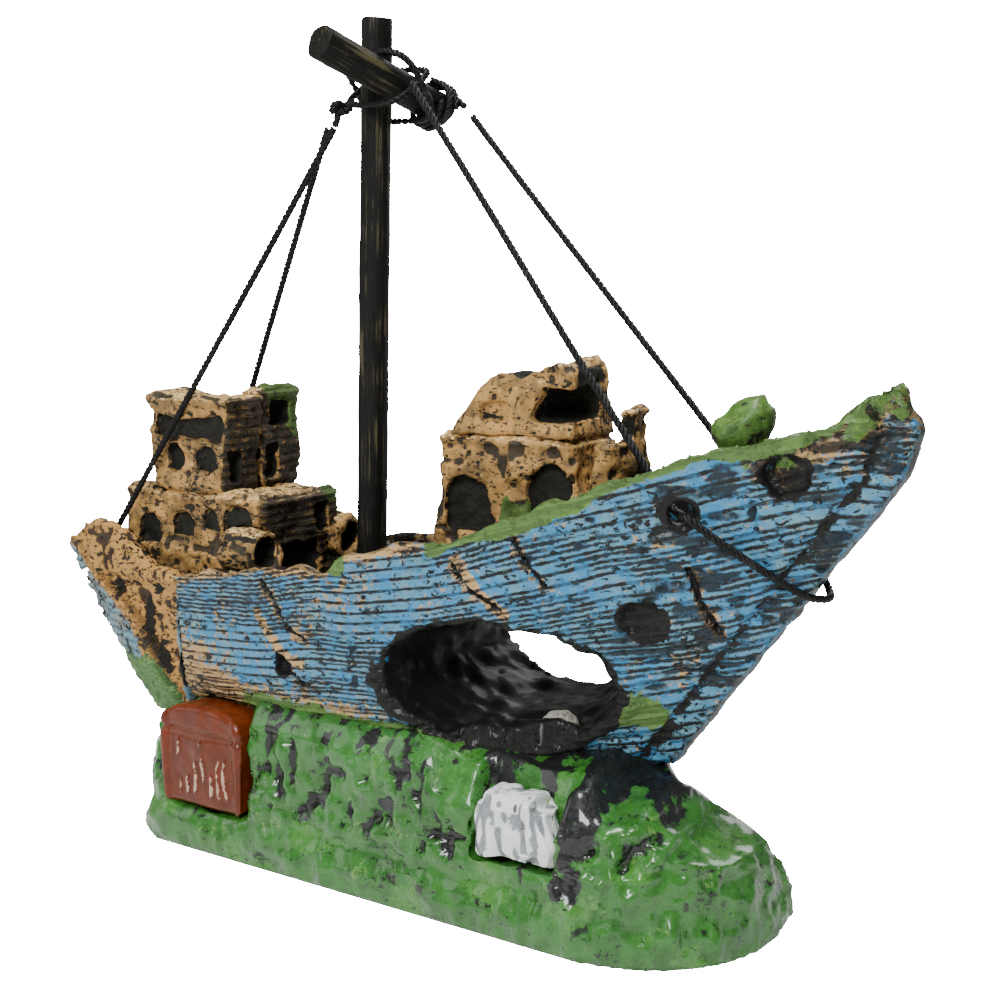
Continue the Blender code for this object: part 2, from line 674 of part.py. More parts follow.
def air_inlet():
    """Barbed nipple for a 4 mm airline at the base's after end."""
    flange_x = BASE_AFT_X - 0.5
    barbs = [(2.25, 5.6), (1.8, 5.6), (2.25, 3.8), (1.8, 3.8), (2.25, 2.0), (1.8, 2.0)]
    flange = [(1.8, 1.2), (3.2, 1.2), (3.2, 0.0), (2.0, 0.0), (2.0, -3.5), (1.2, -3.5)]
    profile = [(1.2, 7.2), (1.7, 7.2)] + barbs + flange
    return turned("air_inlet", profile, (flange_x, AIR_Y, AIR_Z), "air_tube", 20, along=(-1, 0, 0))


def air_stone():
    """Sintered stone with a stem that drops into the tube's upper end."""
    floor = CAVE_FLOOR_Z + GAP
    stem, drop = TUBE_R - TUBE_WALL - 0.4, 5.0
    profile = [(0.0, floor + 3.4), (1.4, floor + 3.0), (2.3, floor + 2.0), (STONE_R, floor + 0.9),
               (STONE_R, floor), (stem, floor), (stem, floor - drop), (0.0, floor - drop)]
    return turned("air_stone", profile, (AIR_X, AIR_Y, 0), "air_stone", 20)


def cave_cutter():
    """Tapering oval passage from the starboard breach to the smaller port one."""
    bm = bmesh.new()
    bmesh.ops.create_cone(bm, cap_ends=True, segments=28, radius1=1.0, radius2=1.0, depth=2.0)
    for vert in bm.verts:
        share = (vert.co.z + 1) / 2              # 0 at the starboard end, 1 at the port end
        x, z, half_x, half_z = (a + (b - a) * share for a, b in zip(CAVE_STARBOARD, CAVE_PORT))
        y = CAVE_REACH * (2 * share - 1)
        vert.co = Vector((x + vert.co.x * half_x, y, z + vert.co.y * half_z)) * MM
    outward(bm)
    return add_cutter("cave", bm)


def seats(rock, shell, quarter):
    """Cuts the sockets, with a glue gap, that the other pieces sit in."""
    channel = as_mesh(tube("air_channel", air_route(BASE_AFT_X - 5, 26.0), CHANNEL_R, "air_tube"), CUTTERS)
    channel.hide_render = True
    channel.display_type = "WIRE"
    chest_seat = clearance("chest_seat", CHEST_LOW, CHEST_HIGH)
    boulder_seat = clearance("boulder_seat", BOULDER_LOW, BOULDER_HIGH)
    castle_seat = clearance("castle_seat", CASTLE_LOW, CASTLE_HIGH)
    foot = Vector((MAST_FOOT_X, 0, MAST_FOOT_Z)) - mast_axis() * GAP
    mast_seat = add_cutter("mast_seat", rod(foot, foot + mast_axis() * 12, MAST_R + GAP, 20))
    x, y, foot_z, top_z, radius = BOLLARD
    bollard_seat = add_cutter("bollard_seat", rod((x, y, foot_z - GAP), (x, y, top_z + 2), radius + GAP, 20))
    stone_top = CAVE_FLOOR_Z + 8
    stone_well = rod((AIR_X, AIR_Y, CAVE_FLOOR_Z), (AIR_X, AIR_Y, stone_top), STONE_SEAT_R, 24)
    cut(rock, channel, chest_seat, boulder_seat)
    cut(shell, cave_cutter(), channel, castle_seat, mast_seat, chest_seat, boulder_seat,
        clearance("house_seat", HOUSE_LOW, HOUSE_HIGH), clearance("annex_seat", ANNEX_LOW, ANNEX_HIGH),
        bollard_seat, add_cutter("stone_seat", stone_well))
    cut(quarter, castle_seat)


def side_holes(shell, quarter):
    """Blind holes, cord holes and barrel wells, the same on both sides."""
    for side, name in ((-1, "starboard"), (1, "port")):
        cut(shell, add_cutter("barrel_well_" + name, barrel_body(side, GAP)))
        for i, (x, z, radius, floor_y) in enumerate(BLIND_HOLES):
            blind = rod((x, side * 30, z), (x, side * floor_y, z), radius, 16)
            cut(shell, add_cutter(f"blind_hole_{name}_{i}", blind))
        mouth_x = 37.0 if side < 0 else 39.2     # the starboard leg comes down flatter
        bow_hole = rod((mouth_x, side * 6.6, 52.3), (42.4, side * 12.4, 51.4), CORD_HOLE_R, 12)
        cut(shell, add_cutter("bow_cord_hole_" + name, bow_hole))
        stern_hole = rod((-52.4, side * 10.2, 42.6), (-62.6, side * 9.2, 31.2), CORD_HOLE_R, 12)
        cut(quarter, add_cutter("stern_cord_hole_" + name, stern_hole))


def main():
    rock = base_rock()
    shell = hull()
    quarter = stern_quarter()
    for made in (stern_castle, stern_tower, stern_turret, fore_deckhouse, fore_cabin, fore_annex,
                 bow_bollard, chest, boulder, mast, yard, yard_wrap, bow_stay, stern_stay, stay_knot,
                 air_tube, air_inlet, air_stone):
        made()
    barrel(-1, "barrel_starboard")
    barrel(1, "barrel_port")
    lashing("lashing_inner", 1.0, 0.0)
    lashing("lashing_outer", -1.0, 2 * CORD_R + GAP)
    seats(rock, shell, quarter)
    side_holes(shell, quarter)


main()
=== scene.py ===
import math

import bmesh
import bpy
import numpy as np
from mathutils import Matrix, Vector


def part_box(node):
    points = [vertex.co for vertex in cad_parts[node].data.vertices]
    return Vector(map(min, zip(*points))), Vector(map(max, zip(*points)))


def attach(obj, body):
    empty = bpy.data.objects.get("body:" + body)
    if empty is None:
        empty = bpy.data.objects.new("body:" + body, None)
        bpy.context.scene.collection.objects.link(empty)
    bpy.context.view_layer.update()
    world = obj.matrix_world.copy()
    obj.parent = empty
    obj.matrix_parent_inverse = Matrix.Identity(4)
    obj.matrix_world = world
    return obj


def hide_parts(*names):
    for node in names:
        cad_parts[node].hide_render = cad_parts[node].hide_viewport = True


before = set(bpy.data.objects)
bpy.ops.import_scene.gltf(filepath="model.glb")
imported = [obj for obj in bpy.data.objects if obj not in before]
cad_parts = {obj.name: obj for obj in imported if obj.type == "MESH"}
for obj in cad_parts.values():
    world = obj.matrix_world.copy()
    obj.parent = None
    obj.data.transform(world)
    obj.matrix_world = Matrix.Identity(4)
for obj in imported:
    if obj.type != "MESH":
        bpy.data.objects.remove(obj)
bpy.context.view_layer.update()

mm = 0.001

# places are in mm and angles in degrees; a softbox is its place, aim, width in metres and watts
camera = {"place": (125.96, -162.10, 79.79), "heading": 35.99, "tiltDown": 8.565, "roll": -0.4976,
          "lens": 57.6, "sensor": 36.0, "nearest": 0.01}
studio = {"floor": "#F7F7F5", "floorSize": 3.0, "floorRoughness": 0.9, "floorGlow": 60.0,
          "world": "#FFFFFF", "worldPower": 0.22, "backdropPower": 60.0,
          "softboxes": {"key": ((120, -380, 330), (0, 0, 40), 0.14, 1.9),
                        "fill": ((-330, -260, 200), (0, 0, 40), 0.25, 0.4),
                        "top": ((60, -40, 430), (0, 0, 40), 0.14, 1.5),
                        "back": ((-60, 380, 240), (0, 0, 60), 0.25, 0.6)}}


def linear(hexColour):  # sRGB hex to the linear values that shaders take
    parts = [int(hexColour[i:i + 2], 16) / 255 for i in (1, 3, 5)]
    return tuple(c / 12.92 if c <= 0.04045 else ((c + 0.055) / 1.055) ** 2.4 for c in parts) + (1.0,)


eased = {"interpolation_type": "SMOOTHSTEP"}


def addNode(tree, kind, inputs=None, **settings):
    node = tree.nodes.new("ShaderNode" + kind)
    for key, value in settings.items():
        setattr(node, key, value)
    for key, value in (inputs or {}).items():
        if isinstance(value, bpy.types.NodeSocket):
            tree.links.new(value, node.inputs[key])
        else:
            node.inputs[key].default_value = value
    return node


def newMaterial(name):
    material = bpy.data.materials.new(name)
    material.use_nodes = True
    return material, material.node_tree, material.node_tree.nodes["Principled BSDF"]


def newObject(name, bm):
    mesh = bpy.data.meshes.new(name)
    bm.to_mesh(mesh)
    bm.free()
    mesh.shade_smooth()
    made = bpy.data.objects.new(name, mesh)
    bpy.context.scene.collection.objects.link(made)
    return made


def setUpStudio():
    data = bpy.data.cameras.new("camera")
    data.lens = camera["lens"]
    data.sensor_width = camera["sensor"]
    data.clip_start = camera["nearest"]
    eye = bpy.data.objects.new("camera", data)
    turn = (Matrix.Rotation(math.radians(camera["heading"]), 4, "Z")
            @ Matrix.Rotation(math.radians(90 - camera["tiltDown"]), 4, "X")
            @ Matrix.Rotation(math.radians(camera["roll"]), 4, "Z"))
    eye.matrix_world = Matrix.Translation(Vector(camera["place"]) * mm) @ turn
    bpy.context.scene.collection.objects.link(eye)
    bpy.context.scene.camera = eye

    bm = bmesh.new()
    bmesh.ops.create_grid(bm, x_segments=1, y_segments=1, size=studio["floorSize"])
    floor = newObject("studioFloor", bm)
    # matt white paper sweep, which the camera sees burnt out
    paper, tree, shader = newMaterial("seamlessPaper")
    shader.inputs["Base Color"].default_value = linear(studio["floor"])
    shader.inputs["Roughness"].default_value = studio["floorRoughness"]
    shader.inputs["Emission Color"].default_value = (1.0, 1.0, 1.0, 1.0)
    seen = addNode(tree, "LightPath").outputs["Is Camera Ray"]
    glow = addNode(tree, "Math", {0: seen, 1: studio["floorGlow"]}, operation="MULTIPLY")
    tree.links.new(glow.outputs[0], shader.inputs["Emission Strength"])
    floor.data.materials.append(paper)

    world = bpy.data.worlds.new("studio")
    world.use_nodes = True
    tree = world.node_tree
    lit = tree.nodes["Background"]
    lit.inputs["Color"].default_value = linear(studio["world"])
    lit.inputs["Strength"].default_value = studio["worldPower"]
    # the backdrop behind the object is burnt out to white, as over a light table
    backdrop = addNode(tree, "Background", {"Strength": studio["backdropPower"]})
    seen = addNode(tree, "LightPath").outputs["Is Camera Ray"]
    both = addNode(tree, "MixShader", {0: seen, 1: lit.outputs[0], 2: backdrop.outputs[0]})
    tree.links.new(both.outputs[0], tree.nodes["World Output"].inputs["Surface"])
    bpy.context.scene.world = world

    for name, (place, aim, size, power) in studio["softboxes"].items():
        light = bpy.data.lights.new(name, "AREA")
        light.energy = power
        light.size = size
        lamp = bpy.data.objects.new(name, light)
        lamp.location = Vector(place) * mm
        lamp.rotation_euler = (Vector(aim) - Vector(place)).to_track_quat("-Z", "Y").to_euler()
        bpy.context.scene.collection.objects.link(lamp)


setUpStudio()
print("studio ready")


# routes repeat the CAD's points, in metres: down the starboard leg, round outside the hull, up to port
cord = {"diameter": 0.001, "strand": 0.00027, "lay": 0.0024, "stepsPerLay": 8,
        "colour": "#090909", "bloom": "#262523"}
bowRoute = [(-0.0016, -0.0044, 0.1014), (0.0116, -0.0055, 0.0847), (0.0246, -0.0066, 0.068),
            (0.0356, -0.0073, 0.0542), (0.038, -0.0079, 0.0519), (0.0412, -0.0106, 0.0516),
            (0.044, -0.0095, 0.0494), (0.0468, -0.0074, 0.047), (0.0496, -0.005, 0.0446),
            (0.052, -0.0027, 0.0427), (0.0532, 0.0, 0.0422), (0.052, 0.0027, 0.0427), (0.0496, 0.005, 0.0446),
            (0.0468, 0.0074, 0.047), (0.044, 0.0095, 0.0494), (0.0412, 0.0106, 0.0516),
            (0.04, 0.0078, 0.0522), (0.0366, 0.0076, 0.0566), (0.023, 0.0074, 0.0716),
            (0.0094, 0.0072, 0.0866), (-0.0008, 0.0071, 0.098)]
sternRoute = [(-0.0128, -0.0062, 0.0963), (-0.0266, -0.0074, 0.0776), (-0.0405, -0.0087, 0.0589),
              (-0.0542, -0.0099, 0.0404), (-0.0566, -0.0098, 0.0378), (-0.0594, -0.0096, 0.0348),
              (-0.061, -0.0086, 0.0332), (-0.0616, -0.005, 0.0328), (-0.0617, 0.0, 0.0327),
              (-0.0616, 0.005, 0.0328), (-0.061, 0.0086, 0.0332), (-0.0594, 0.0096, 0.0348),
              (-0.0566, 0.0098, 0.0378), (-0.0542, 0.0104, 0.0404), (-0.0413, 0.0054, 0.0591),
              (-0.0283, 0.0004, 0.0778), (-0.0153, -0.0046, 0.0965)]


def smoothLine(points):  # a curve through the route's own points, with even steps along each strand's turn
    spacing = cord["lay"] / cord["stepsPerLay"]
    route = [Vector(p) for p in points]
    padded = [2 * route[0] - route[1]] + route + [2 * route[-1] - route[-2]]
    out = []
    for i in range(1, len(padded) - 2):
        a, b, c, d = padded[i - 1:i + 3]
        steps = max(1, round((c - b).length / spacing))
        for k in range(steps):
            t = k / steps
            out.append(0.5 * (2 * b + (c - a) * t + (2 * a - 5 * b + 4 * c - d) * t * t
                              + (3 * b - a - 3 * c + d) * t ** 3))
    return out + [route[-1]]


def addTube(bm, points, radius, closed):  # a round tube added to bm through a bevelled curve
    curve = bpy.data.curves.new("tube", "CURVE")
    curve.dimensions = "3D"
    curve.bevel_depth = radius
    curve.bevel_resolution = 1
    curve.use_fill_caps = not closed
    spline = curve.splines.new("POLY")
    spline.points.add(len(points) - 1)
    for spot, point in zip(spline.points, points):
        spot.co = (*point, 1.0)
    spline.use_cyclic_u = closed
    helper = bpy.data.objects.new("tube", curve)
    mesh = bpy.data.meshes.new_from_object(helper)
    bm.from_mesh(mesh)
    bpy.data.objects.remove(helper)
    bpy.data.curves.remove(curve)
    bpy.data.meshes.remove(mesh)


def layCord(name, path, closed=False):  # three strands laid up round the path
    steps = len(path)
    tangents = [(path[(i + 1) % steps] - path[i - 1]).normalized() if closed or 0 < i < steps - 1
                else (path[1] - path[0]).normalized() if i == 0 else (path[-1] - path[-2]).normalized()
                for i in range(steps)]
    side = tangents[0].orthogonal().normalized()
    frames, run = [], 0.0
    for i in range(steps):
        side = (side - tangents[i] * side.dot(tangents[i])).normalized()
        frames.append((side, tangents[i].cross(side), run))
        run += (path[(i + 1) % steps] - path[i]).length
    turns = run / cord["lay"]
    if closed:  # a whole number of turns, counting the twist that the loop itself adds
        drift = (frames[-1][0] - tangents[0] * frames[-1][0].dot(tangents[0])).normalized()
        turns = round(turns) - math.atan2(drift.dot(frames[0][1]), drift.dot(frames[0][0])) / (2 * math.pi)
    bm = bmesh.new()
    offset = cord["diameter"] / 2 - cord["strand"]
    for strand in range(3):
        points = []
        for (across, up, along), centre in zip(frames, path):
            angle = 2 * math.pi * (along / run * turns + strand / 3)
            points.append(centre + (across * math.cos(angle) + up * math.sin(angle)) * offset)
        addTube(bm, points, cord["strand"], closed)
    bmesh.ops.remove_doubles(bm, verts=bm.verts[:], dist=1e-7)
    return newObject(name, bm)


# waxed polyester: near-black with a soft wax bloom, so each strand catches a thin light line
def waxedCord():
    material, tree, shader = newMaterial("waxedPolyesterCord")
    place = addNode(tree, "TexCoord").outputs["Object"]
    bloom = addNode(tree, "TexNoise", {"Vector": place, "Scale": 1 / (1.6 * mm), "Detail": 3.0})
    dust = addNode(tree, "MapRange", {"Value": bloom.outputs["Fac"], 1: 0.55, 2: 0.75}, **eased)
    paint = addNode(tree, "Mix", {0: dust.outputs[0], 6: linear(cord["colour"]),
                                  7: linear(cord["bloom"])}, data_type="RGBA")
    tree.links.new(paint.outputs[2], shader.inputs["Base Color"])
    fibre = addNode(tree, "TexNoise", {"Vector": place, "Scale": 1 / (0.18 * mm), "Detail": 2.0})
    bump = addNode(tree, "Bump", {"Height": fibre.outputs["Fac"], "Strength": 0.5, "Distance": 0.05 * mm})
    tree.links.new(bump.outputs[0], shader.inputs["Normal"])
    shader.inputs["Roughness"].default_value = 0.48
    shader.inputs["Specular IOR Level"].default_value = 0.25
    return material


cordMaterial = waxedCord()


def rigStay(name, node, route):
    path = smoothLine(route)
    stay = layCord(name, path)
    stay.data.materials.append(cordMaterial)
    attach(stay, "wreck")
    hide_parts(node)


rigStay("bowStay", "bow_stay", bowRoute)
rigStay("sternStay", "stern_stay", sternRoute)
print("stays rigged")


def lumps(p, size, seed):  # smooth lumps about size mm across, from -1 to 1
    q = p / np.array(size) + seed * 7.31
    cell = np.floor(q)
    t = q - cell
    t = t * t * (3 - 2 * t)
    cell = cell.astype(np.int64)
    total = np.zeros(len(p))
    for corner in np.ndindex(2, 2, 2):
        c = cell + np.array(corner)
        h = (c[:, 0] * 73856093) ^ (c[:, 1] * 19349663) ^ (c[:, 2] * 83492791)
        h = (h ^ (h >> 13)) * 1274126177 & 0x7fffffff
        value = ((h >> 7) & 0xffff) / 32767.5 - 1
        weight = np.prod(np.where(np.array(corner) == 1, t, 1 - t), axis=1)
        total += value * weight
    return total


def ramp(low, high, value):  # 0 at low, 1 at high, eased
    t = np.clip((value - low) / (high - low), 0, 1)
    return t * t * (3 - 2 * t)


def nearLine(p, line):  # distance to a line of (x, z) points, seen from the side
    q = p[:, (0, 2)]
    best = np.full(len(q), 1e9)
    for a, b in zip(np.array(line[:-1], float), np.array(line[1:], float)):
        t = np.clip(((q - a) @ (b - a)) / ((b - a) @ (b - a)), 0, 1)
        best = np.minimum(best, np.linalg.norm(q - (a + t[:, None] * (b - a)), axis=1))
    return best


def lineX(line, z):  # where a line of (x, z) points stands at height z
    xs, zs = np.array(sorted(line, key=lambda spot: spot[1])).T
    return np.interp(z, zs, xs)


def planking(strake):  # 1 where a groove is cut, at half strakes; the paint's own line runs at whole ones
    return (0.5 + 0.5 * np.cos(2 * np.pi * (strake - 0.5))) ** 2


def boxOf(node):  # a node's lowest and highest corners, in mm
    return [np.array([v / mm for v in corner]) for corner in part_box(node)]


def readPoints(mesh):
    points = np.empty(len(mesh.vertices) * 3)
    normals = np.empty(len(mesh.vertices) * 3)
    mesh.vertices.foreach_get("co", points)
    mesh.vertices.foreach_get("normal", normals)
    return points.reshape(-1, 3) / mm, normals.reshape(-1, 3)


def writePoints(mesh, points):
    mesh.vertices.foreach_set("co", (points * mm).ravel())
    mesh.update()


def writeMask(mesh, name, values):
    stored = mesh.attributes.new(name, "FLOAT", "POINT")
    stored.data.foreach_set("value", np.asarray(values, dtype=np.float32))


def applyModifiers(piece):
    made = bpy.data.meshes.new_from_object(piece.evaluated_get(bpy.context.evaluated_depsgraph_get()))
    piece.modifiers.clear()
    old = piece.data
    piece.data = made
    bpy.data.meshes.remove(old)


def claim(piece, node, body, material):
    piece.data.materials.clear()
    piece.data.materials.append(material)
    piece.data.shade_smooth()
    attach(piece, body)
    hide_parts(node)


# remeshes a node's own shape, moves its points by relief(points, normals) in mm and stores the paint's masks;
# a mask that is left out reads as 0, and finer picks the faces that are split once more
def sculpt(name, node, voxel, relief, material, body="wreck", finer=None):
    bm = bmesh.new()
    bm.from_mesh(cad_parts[node].data)
    bmesh.ops.remove_doubles(bm, verts=bm.verts[:], dist=1e-6)
    piece = newObject(name, bm)
    remesh = piece.modifiers.new("clay", "REMESH")
    remesh.mode = "VOXEL"
    remesh.voxel_size = voxel * mm
    bpy.context.view_layer.update()
    applyModifiers(piece)
    if finer:
        bm = bmesh.new()
        bm.from_mesh(piece.data)
        faces = [f for f in bm.faces if finer(f.calc_center_median() / mm, f.normal)]
        edges = list({e for f in faces for e in f.edges})
        bmesh.ops.subdivide_edges(bm, edges=edges, cuts=1, use_grid_fill=True)
        bmesh.ops.triangulate(bm, faces=[f for f in bm.faces if len(f.verts) > 4])
        bm.to_mesh(piece.data)
        bm.free()
    points, normals = readPoints(piece.data)
    moved, masks = relief(points, normals)
    writePoints(piece.data, moved)
    for mask, values in masks.items():
        writeMask(piece.data, mask, values)
    print(name, len(piece.data.polygons), "faces")
    claim(piece, node, body, material)


def layer(tree, below, colour, mask, noise, soft=0.06):  # a coat that spreads from noise peaks as mask rises
    spread = addNode(tree, "Math", {0: mask, 1: 0.5, 2: noise}, operation="MULTIPLY_ADD")
    edge = addNode(tree, "MapRange", {"Value": spread.outputs[0], 1: 0.75 - soft, 2: 0.75 + soft}, **eased)
    coat = addNode(tree, "Mix", {0: edge.outputs[0], 6: below, 7: linear(colour)}, data_type="RGBA")
    return coat.outputs[2], edge.outputs[0]


def paintedResin(name, colours, roughness, coat, speck, groove, bumpDepth, dryness, stain, pitting):
    material, tree, shader = newMaterial(name)
    place = addNode(tree, "TexCoord").outputs["Object"]
    masks = {m: addNode(tree, "Attribute", attribute_name=m).outputs["Fac"]
             for m in ("dryBrushAndHighlight", "washAndShadeMask", "moss", "strake", "hollow")}
    grain = {size: addNode(tree, "TexNoise", {"Vector": place, "Scale": 1 / (size * mm), "Detail": 4.0,
                                              "Roughness": 0.6}).outputs["Fac"]
             for size in (7.0, 2.2, 0.9)}
    blotch = addNode(tree, "Math", {0: grain[7.0], 1: 0.6, 2: grain[2.2]},
                     operation="MULTIPLY_ADD").outputs[0]
    patch = addNode(tree, "MapRange", {"Value": blotch, 1: 0.68, 2: 0.92})
    base = addNode(tree, "Mix", {0: patch.outputs[0], 6: linear(colours["main"]),
                                 7: linear(colours["second"])}, data_type="RGBA").outputs[2]
    # a pale coat for the dry brush, and for painted highlights where a piece's mask paints them
    dryBrushAndHighlightLevel = addNode(tree, "Math", {0: masks["dryBrushAndHighlight"], 1: dryness}, operation="ADD").outputs[0]
    base, _ = layer(tree, base, colours["dryBrushAndHighlight"], dryBrushAndHighlightLevel, grain[0.9])
    base, mossEdge = layer(tree, base, colours["moss"], masks["moss"], grain[2.2], 0.04)
    base, _ = layer(tree, base, colours["moss2"], masks["moss"], grain[0.9], 0.1)
    # a near-black coat for the wash, and for painted shade where a piece's mask paints it
    washAndShadeLevel = addNode(tree, "Math", {0: masks["washAndShadeMask"], 1: stain}, operation="ADD").outputs[0]
    base, washAndShadeEdge = layer(tree, base, colours["washAndShadeColour"], washAndShadeLevel, grain[2.2], 0.05)
    # small ragged pits left by the mould, filled with wash and drawn out along the ship
    drawn = addNode(tree, "Mapping", {"Vector": place, "Scale": (0.6, 1.0, 1.0)}).outputs[0]
    pits = addNode(tree, "TexNoise", {"Vector": drawn, "Scale": 1 / (speck * 1.7 * mm), "Detail": 3.0,
                                      "Roughness": 0.65, "Distortion": 0.6}).outputs["Fac"]
    rough = addNode(tree, "Math", {0: grain[7.0], 1: 0.35, 2: pits}, operation="MULTIPLY_ADD").outputs[0]
    rough = addNode(tree, "Math", {0: washAndShadeLevel, 1: 0.12, 2: rough}, operation="MULTIPLY_ADD").outputs[0]
    pit = addNode(tree, "MapRange", {"Value": rough, 1: 0.82 - pitting, 2: 0.88 - pitting}, **eased)
    height = pit.outputs[0]
    # wash lies in the hollows of the casting itself, thinner where the grain stands up
    settled = addNode(tree, "Math", {0: grain[0.9], 1: -0.9, 2: 0.45}, operation="MULTIPLY_ADD").outputs[0]
    settled = addNode(tree, "Math", {0: masks["hollow"], 1: 1.35, 2: settled},
                      operation="MULTIPLY_ADD").outputs[0]
    pooled = addNode(tree, "MapRange", {"Value": settled, 1: 0.25, 2: 0.85, 4: 0.93}, **eased).outputs[0]
    mark = addNode(tree, "Math", {0: pit.outputs[0], 1: pooled}, operation="MAXIMUM").outputs[0]
    if groove:
        phase = addNode(tree, "Math", {0: masks["strake"]}, operation="FRACT").outputs[0]
        phase = addNode(tree, "Math", {0: phase, 1: 0.5}, operation="SUBTRACT").outputs[0]
        phase = addNode(tree, "Math", {0: phase}, operation="ABSOLUTE").outputs[0]
        wobble = addNode(tree, "Math", {0: grain[0.9], 1: 0.35, 2: phase},
                         operation="MULTIPLY_ADD").outputs[0]
        line = addNode(tree, "MapRange", {"Value": wobble, 1: 0.48, 2: 0.6}, **eased).outputs[0]
        wear = addNode(tree, "MapRange", {"Value": grain[2.2], 1: 0.36, 2: 0.52, 3: 0.45, 4: groove},
                       **eased).outputs[0]
        worn = addNode(tree, "Math", {0: line, 1: wear}, operation="MULTIPLY").outputs[0]
        mark = addNode(tree, "Math", {0: worn, 1: mark}, operation="MAXIMUM").outputs[0]
        height = addNode(tree, "Math", {0: line, 1: height}, operation="MAXIMUM").outputs[0]
    keep = addNode(tree, "Math", {0: mossEdge, 1: -0.7, 2: 1.0}, operation="MULTIPLY_ADD").outputs[0]
    mark = addNode(tree, "Math", {0: mark, 1: keep}, operation="MULTIPLY").outputs[0]
    final = addNode(tree, "Mix", {0: mark, 6: base, 7: linear(colours["washAndShadeColour"])}, data_type="RGBA")
    tree.links.new(final.outputs[2], shader.inputs["Base Color"])
    sunk = addNode(tree, "Math", {0: grain[0.9], 1: 0.5, 2: -0.3}, operation="MULTIPLY_ADD").outputs[0]
    relief = addNode(tree, "Math", {0: sunk, 1: height}, operation="SUBTRACT").outputs[0]
    bump = addNode(tree, "Bump", {"Height": relief, "Strength": 0.75, "Distance": bumpDepth * mm})
    tree.links.new(bump.outputs[0], shader.inputs["Normal"])
    gloss = addNode(tree, "Mix", {0: washAndShadeEdge, 2: roughness, 3: min(0.85, roughness + 0.15)})
    tree.links.new(gloss.outputs[0], shader.inputs["Roughness"])
    shader.inputs["Specular IOR Level"].default_value = 0.3
    shader.inputs["Coat Weight"].default_value = coat
    shader.inputs["Coat Roughness"].default_value = 0.1
    return material


# cast polyresin in blue acrylic with black wash and a tan dry brush: satin, dark in every groove; its
# near-black also paints the shade inside the passage
hullPaint = paintedResin(
    "castResinBlueAcrylic",
    {"main": "#3887B6", "second": "#6694A6", "dryBrushAndHighlight": "#BE9A66", "moss": "#638A34",
     "moss2": "#58783A", "washAndShadeColour": "#0E0E0C"},
    roughness=0.5, coat=0.12, speck=0.42, groove=1.0,
    bumpDepth=0.2, dryness=0.2, stain=-0.02, pitting=0.075)
# the same resin in tan acrylic, washed black so only the high spots stay tan
castlePaint = paintedResin(
    "castResinTanAcrylic",
    {"main": "#BC9052", "second": "#7C623A", "dryBrushAndHighlight": "#E0BC80", "moss": "#6E8A3C",
     "moss2": "#4E6A2E", "washAndShadeColour": "#22221B"},
    roughness=0.62, coat=0.0, speck=0.3, groove=0.95,
    bumpDepth=0.24, dryness=0.16, stain=-0.04, pitting=0.1)
# the same resin in green gloss enamel: wet-looking lumps with charcoal showing in the pits
rockPaint = paintedResin(
    "castResinGreenGloss",
    {"main": "#347428", "second": "#295F1E", "dryBrushAndHighlight": "#5E8C42", "moss": "#3A7628",
     "moss2": "#478234", "washAndShadeColour": "#141715"},
    roughness=0.3, coat=0.7, speck=0.5, groove=0.0,
    bumpDepth=0.5, dryness=0.06, stain=-0.04, pitting=0.02)
print("paints mixed")


# lines are (x, z) in mm; a cave mouth is its middle x and z, half width and half height;
# a hole is its x, z, radius and whether pale paint shows in its middle
hullShape = {"sheer": [(-37, 37.0), (-31, 38.4), (-20.5, 40.7), (-8, 41.3), (-4, 44.2), (9, 46.3),
                       (18.5, 49.7), (31, 54.7), (41.5, 59.0), (52.5, 61.4), (58, 64.0), (61, 67.0)],
             "run": [(-37, 38.0), (-20, 40.6), (9, 46.4), (31, 54.5), (52.5, 61.4), (61, 64.2)],
             "foot": 19.7, "strakeWidth": 1.05,
             "caveStarboard": (18.5, 29.4, 16.7, 8.4), "cavePort": (8.5, 29.6, 10.5, 5.4),
             "stem": [(34.2, 19.7), (62.0, 56.5), (63.8, 61.5), (61.0, 67.0)],
             "cracks": [((-18.7, 38.7), (-16.4, 36.2), (-14.6, 33.2), (-11.4, 31.6)),
                        ((-16.9, 29.6), (-14.9, 27.2), (-12.6, 25.6)),
                        ((12.2, 44.0), (14.4, 41.4), (18.6, 39.2)),
                        ((20.6, 47.6), (21.8, 45.0), (24.2, 42.4)),
                        ((40.0, 45.4), (40.9, 41.5), (42.4, 37.6))],
             "boards": [((-19.6, 34.6), (-15.6, 29.6), (-12.2, 28.4)),
                        ((13.2, 45.0), (16.0, 41.0), (19.0, 38.6))],
             "holes": [(34.5, 38.6, 2.9, False), (51.0, 56.5, 2.9, True), (-16.0, 28.0, 1.6, False),
                       (39.8, 51.8, 2.3, False)],
             "sillLift": 2.4, "footGrip": 0.4}


def caveReach(p):  # 1 on the passage's wall, less inside it
    share = (p[:, 1] + 20) / 40
    middle = [a + (b - a) * share for a, b in zip(hullShape["caveStarboard"], hullShape["cavePort"])]
    return np.hypot((p[:, 0] - middle[0]) / middle[2], (p[:, 2] - middle[1]) / middle[3])


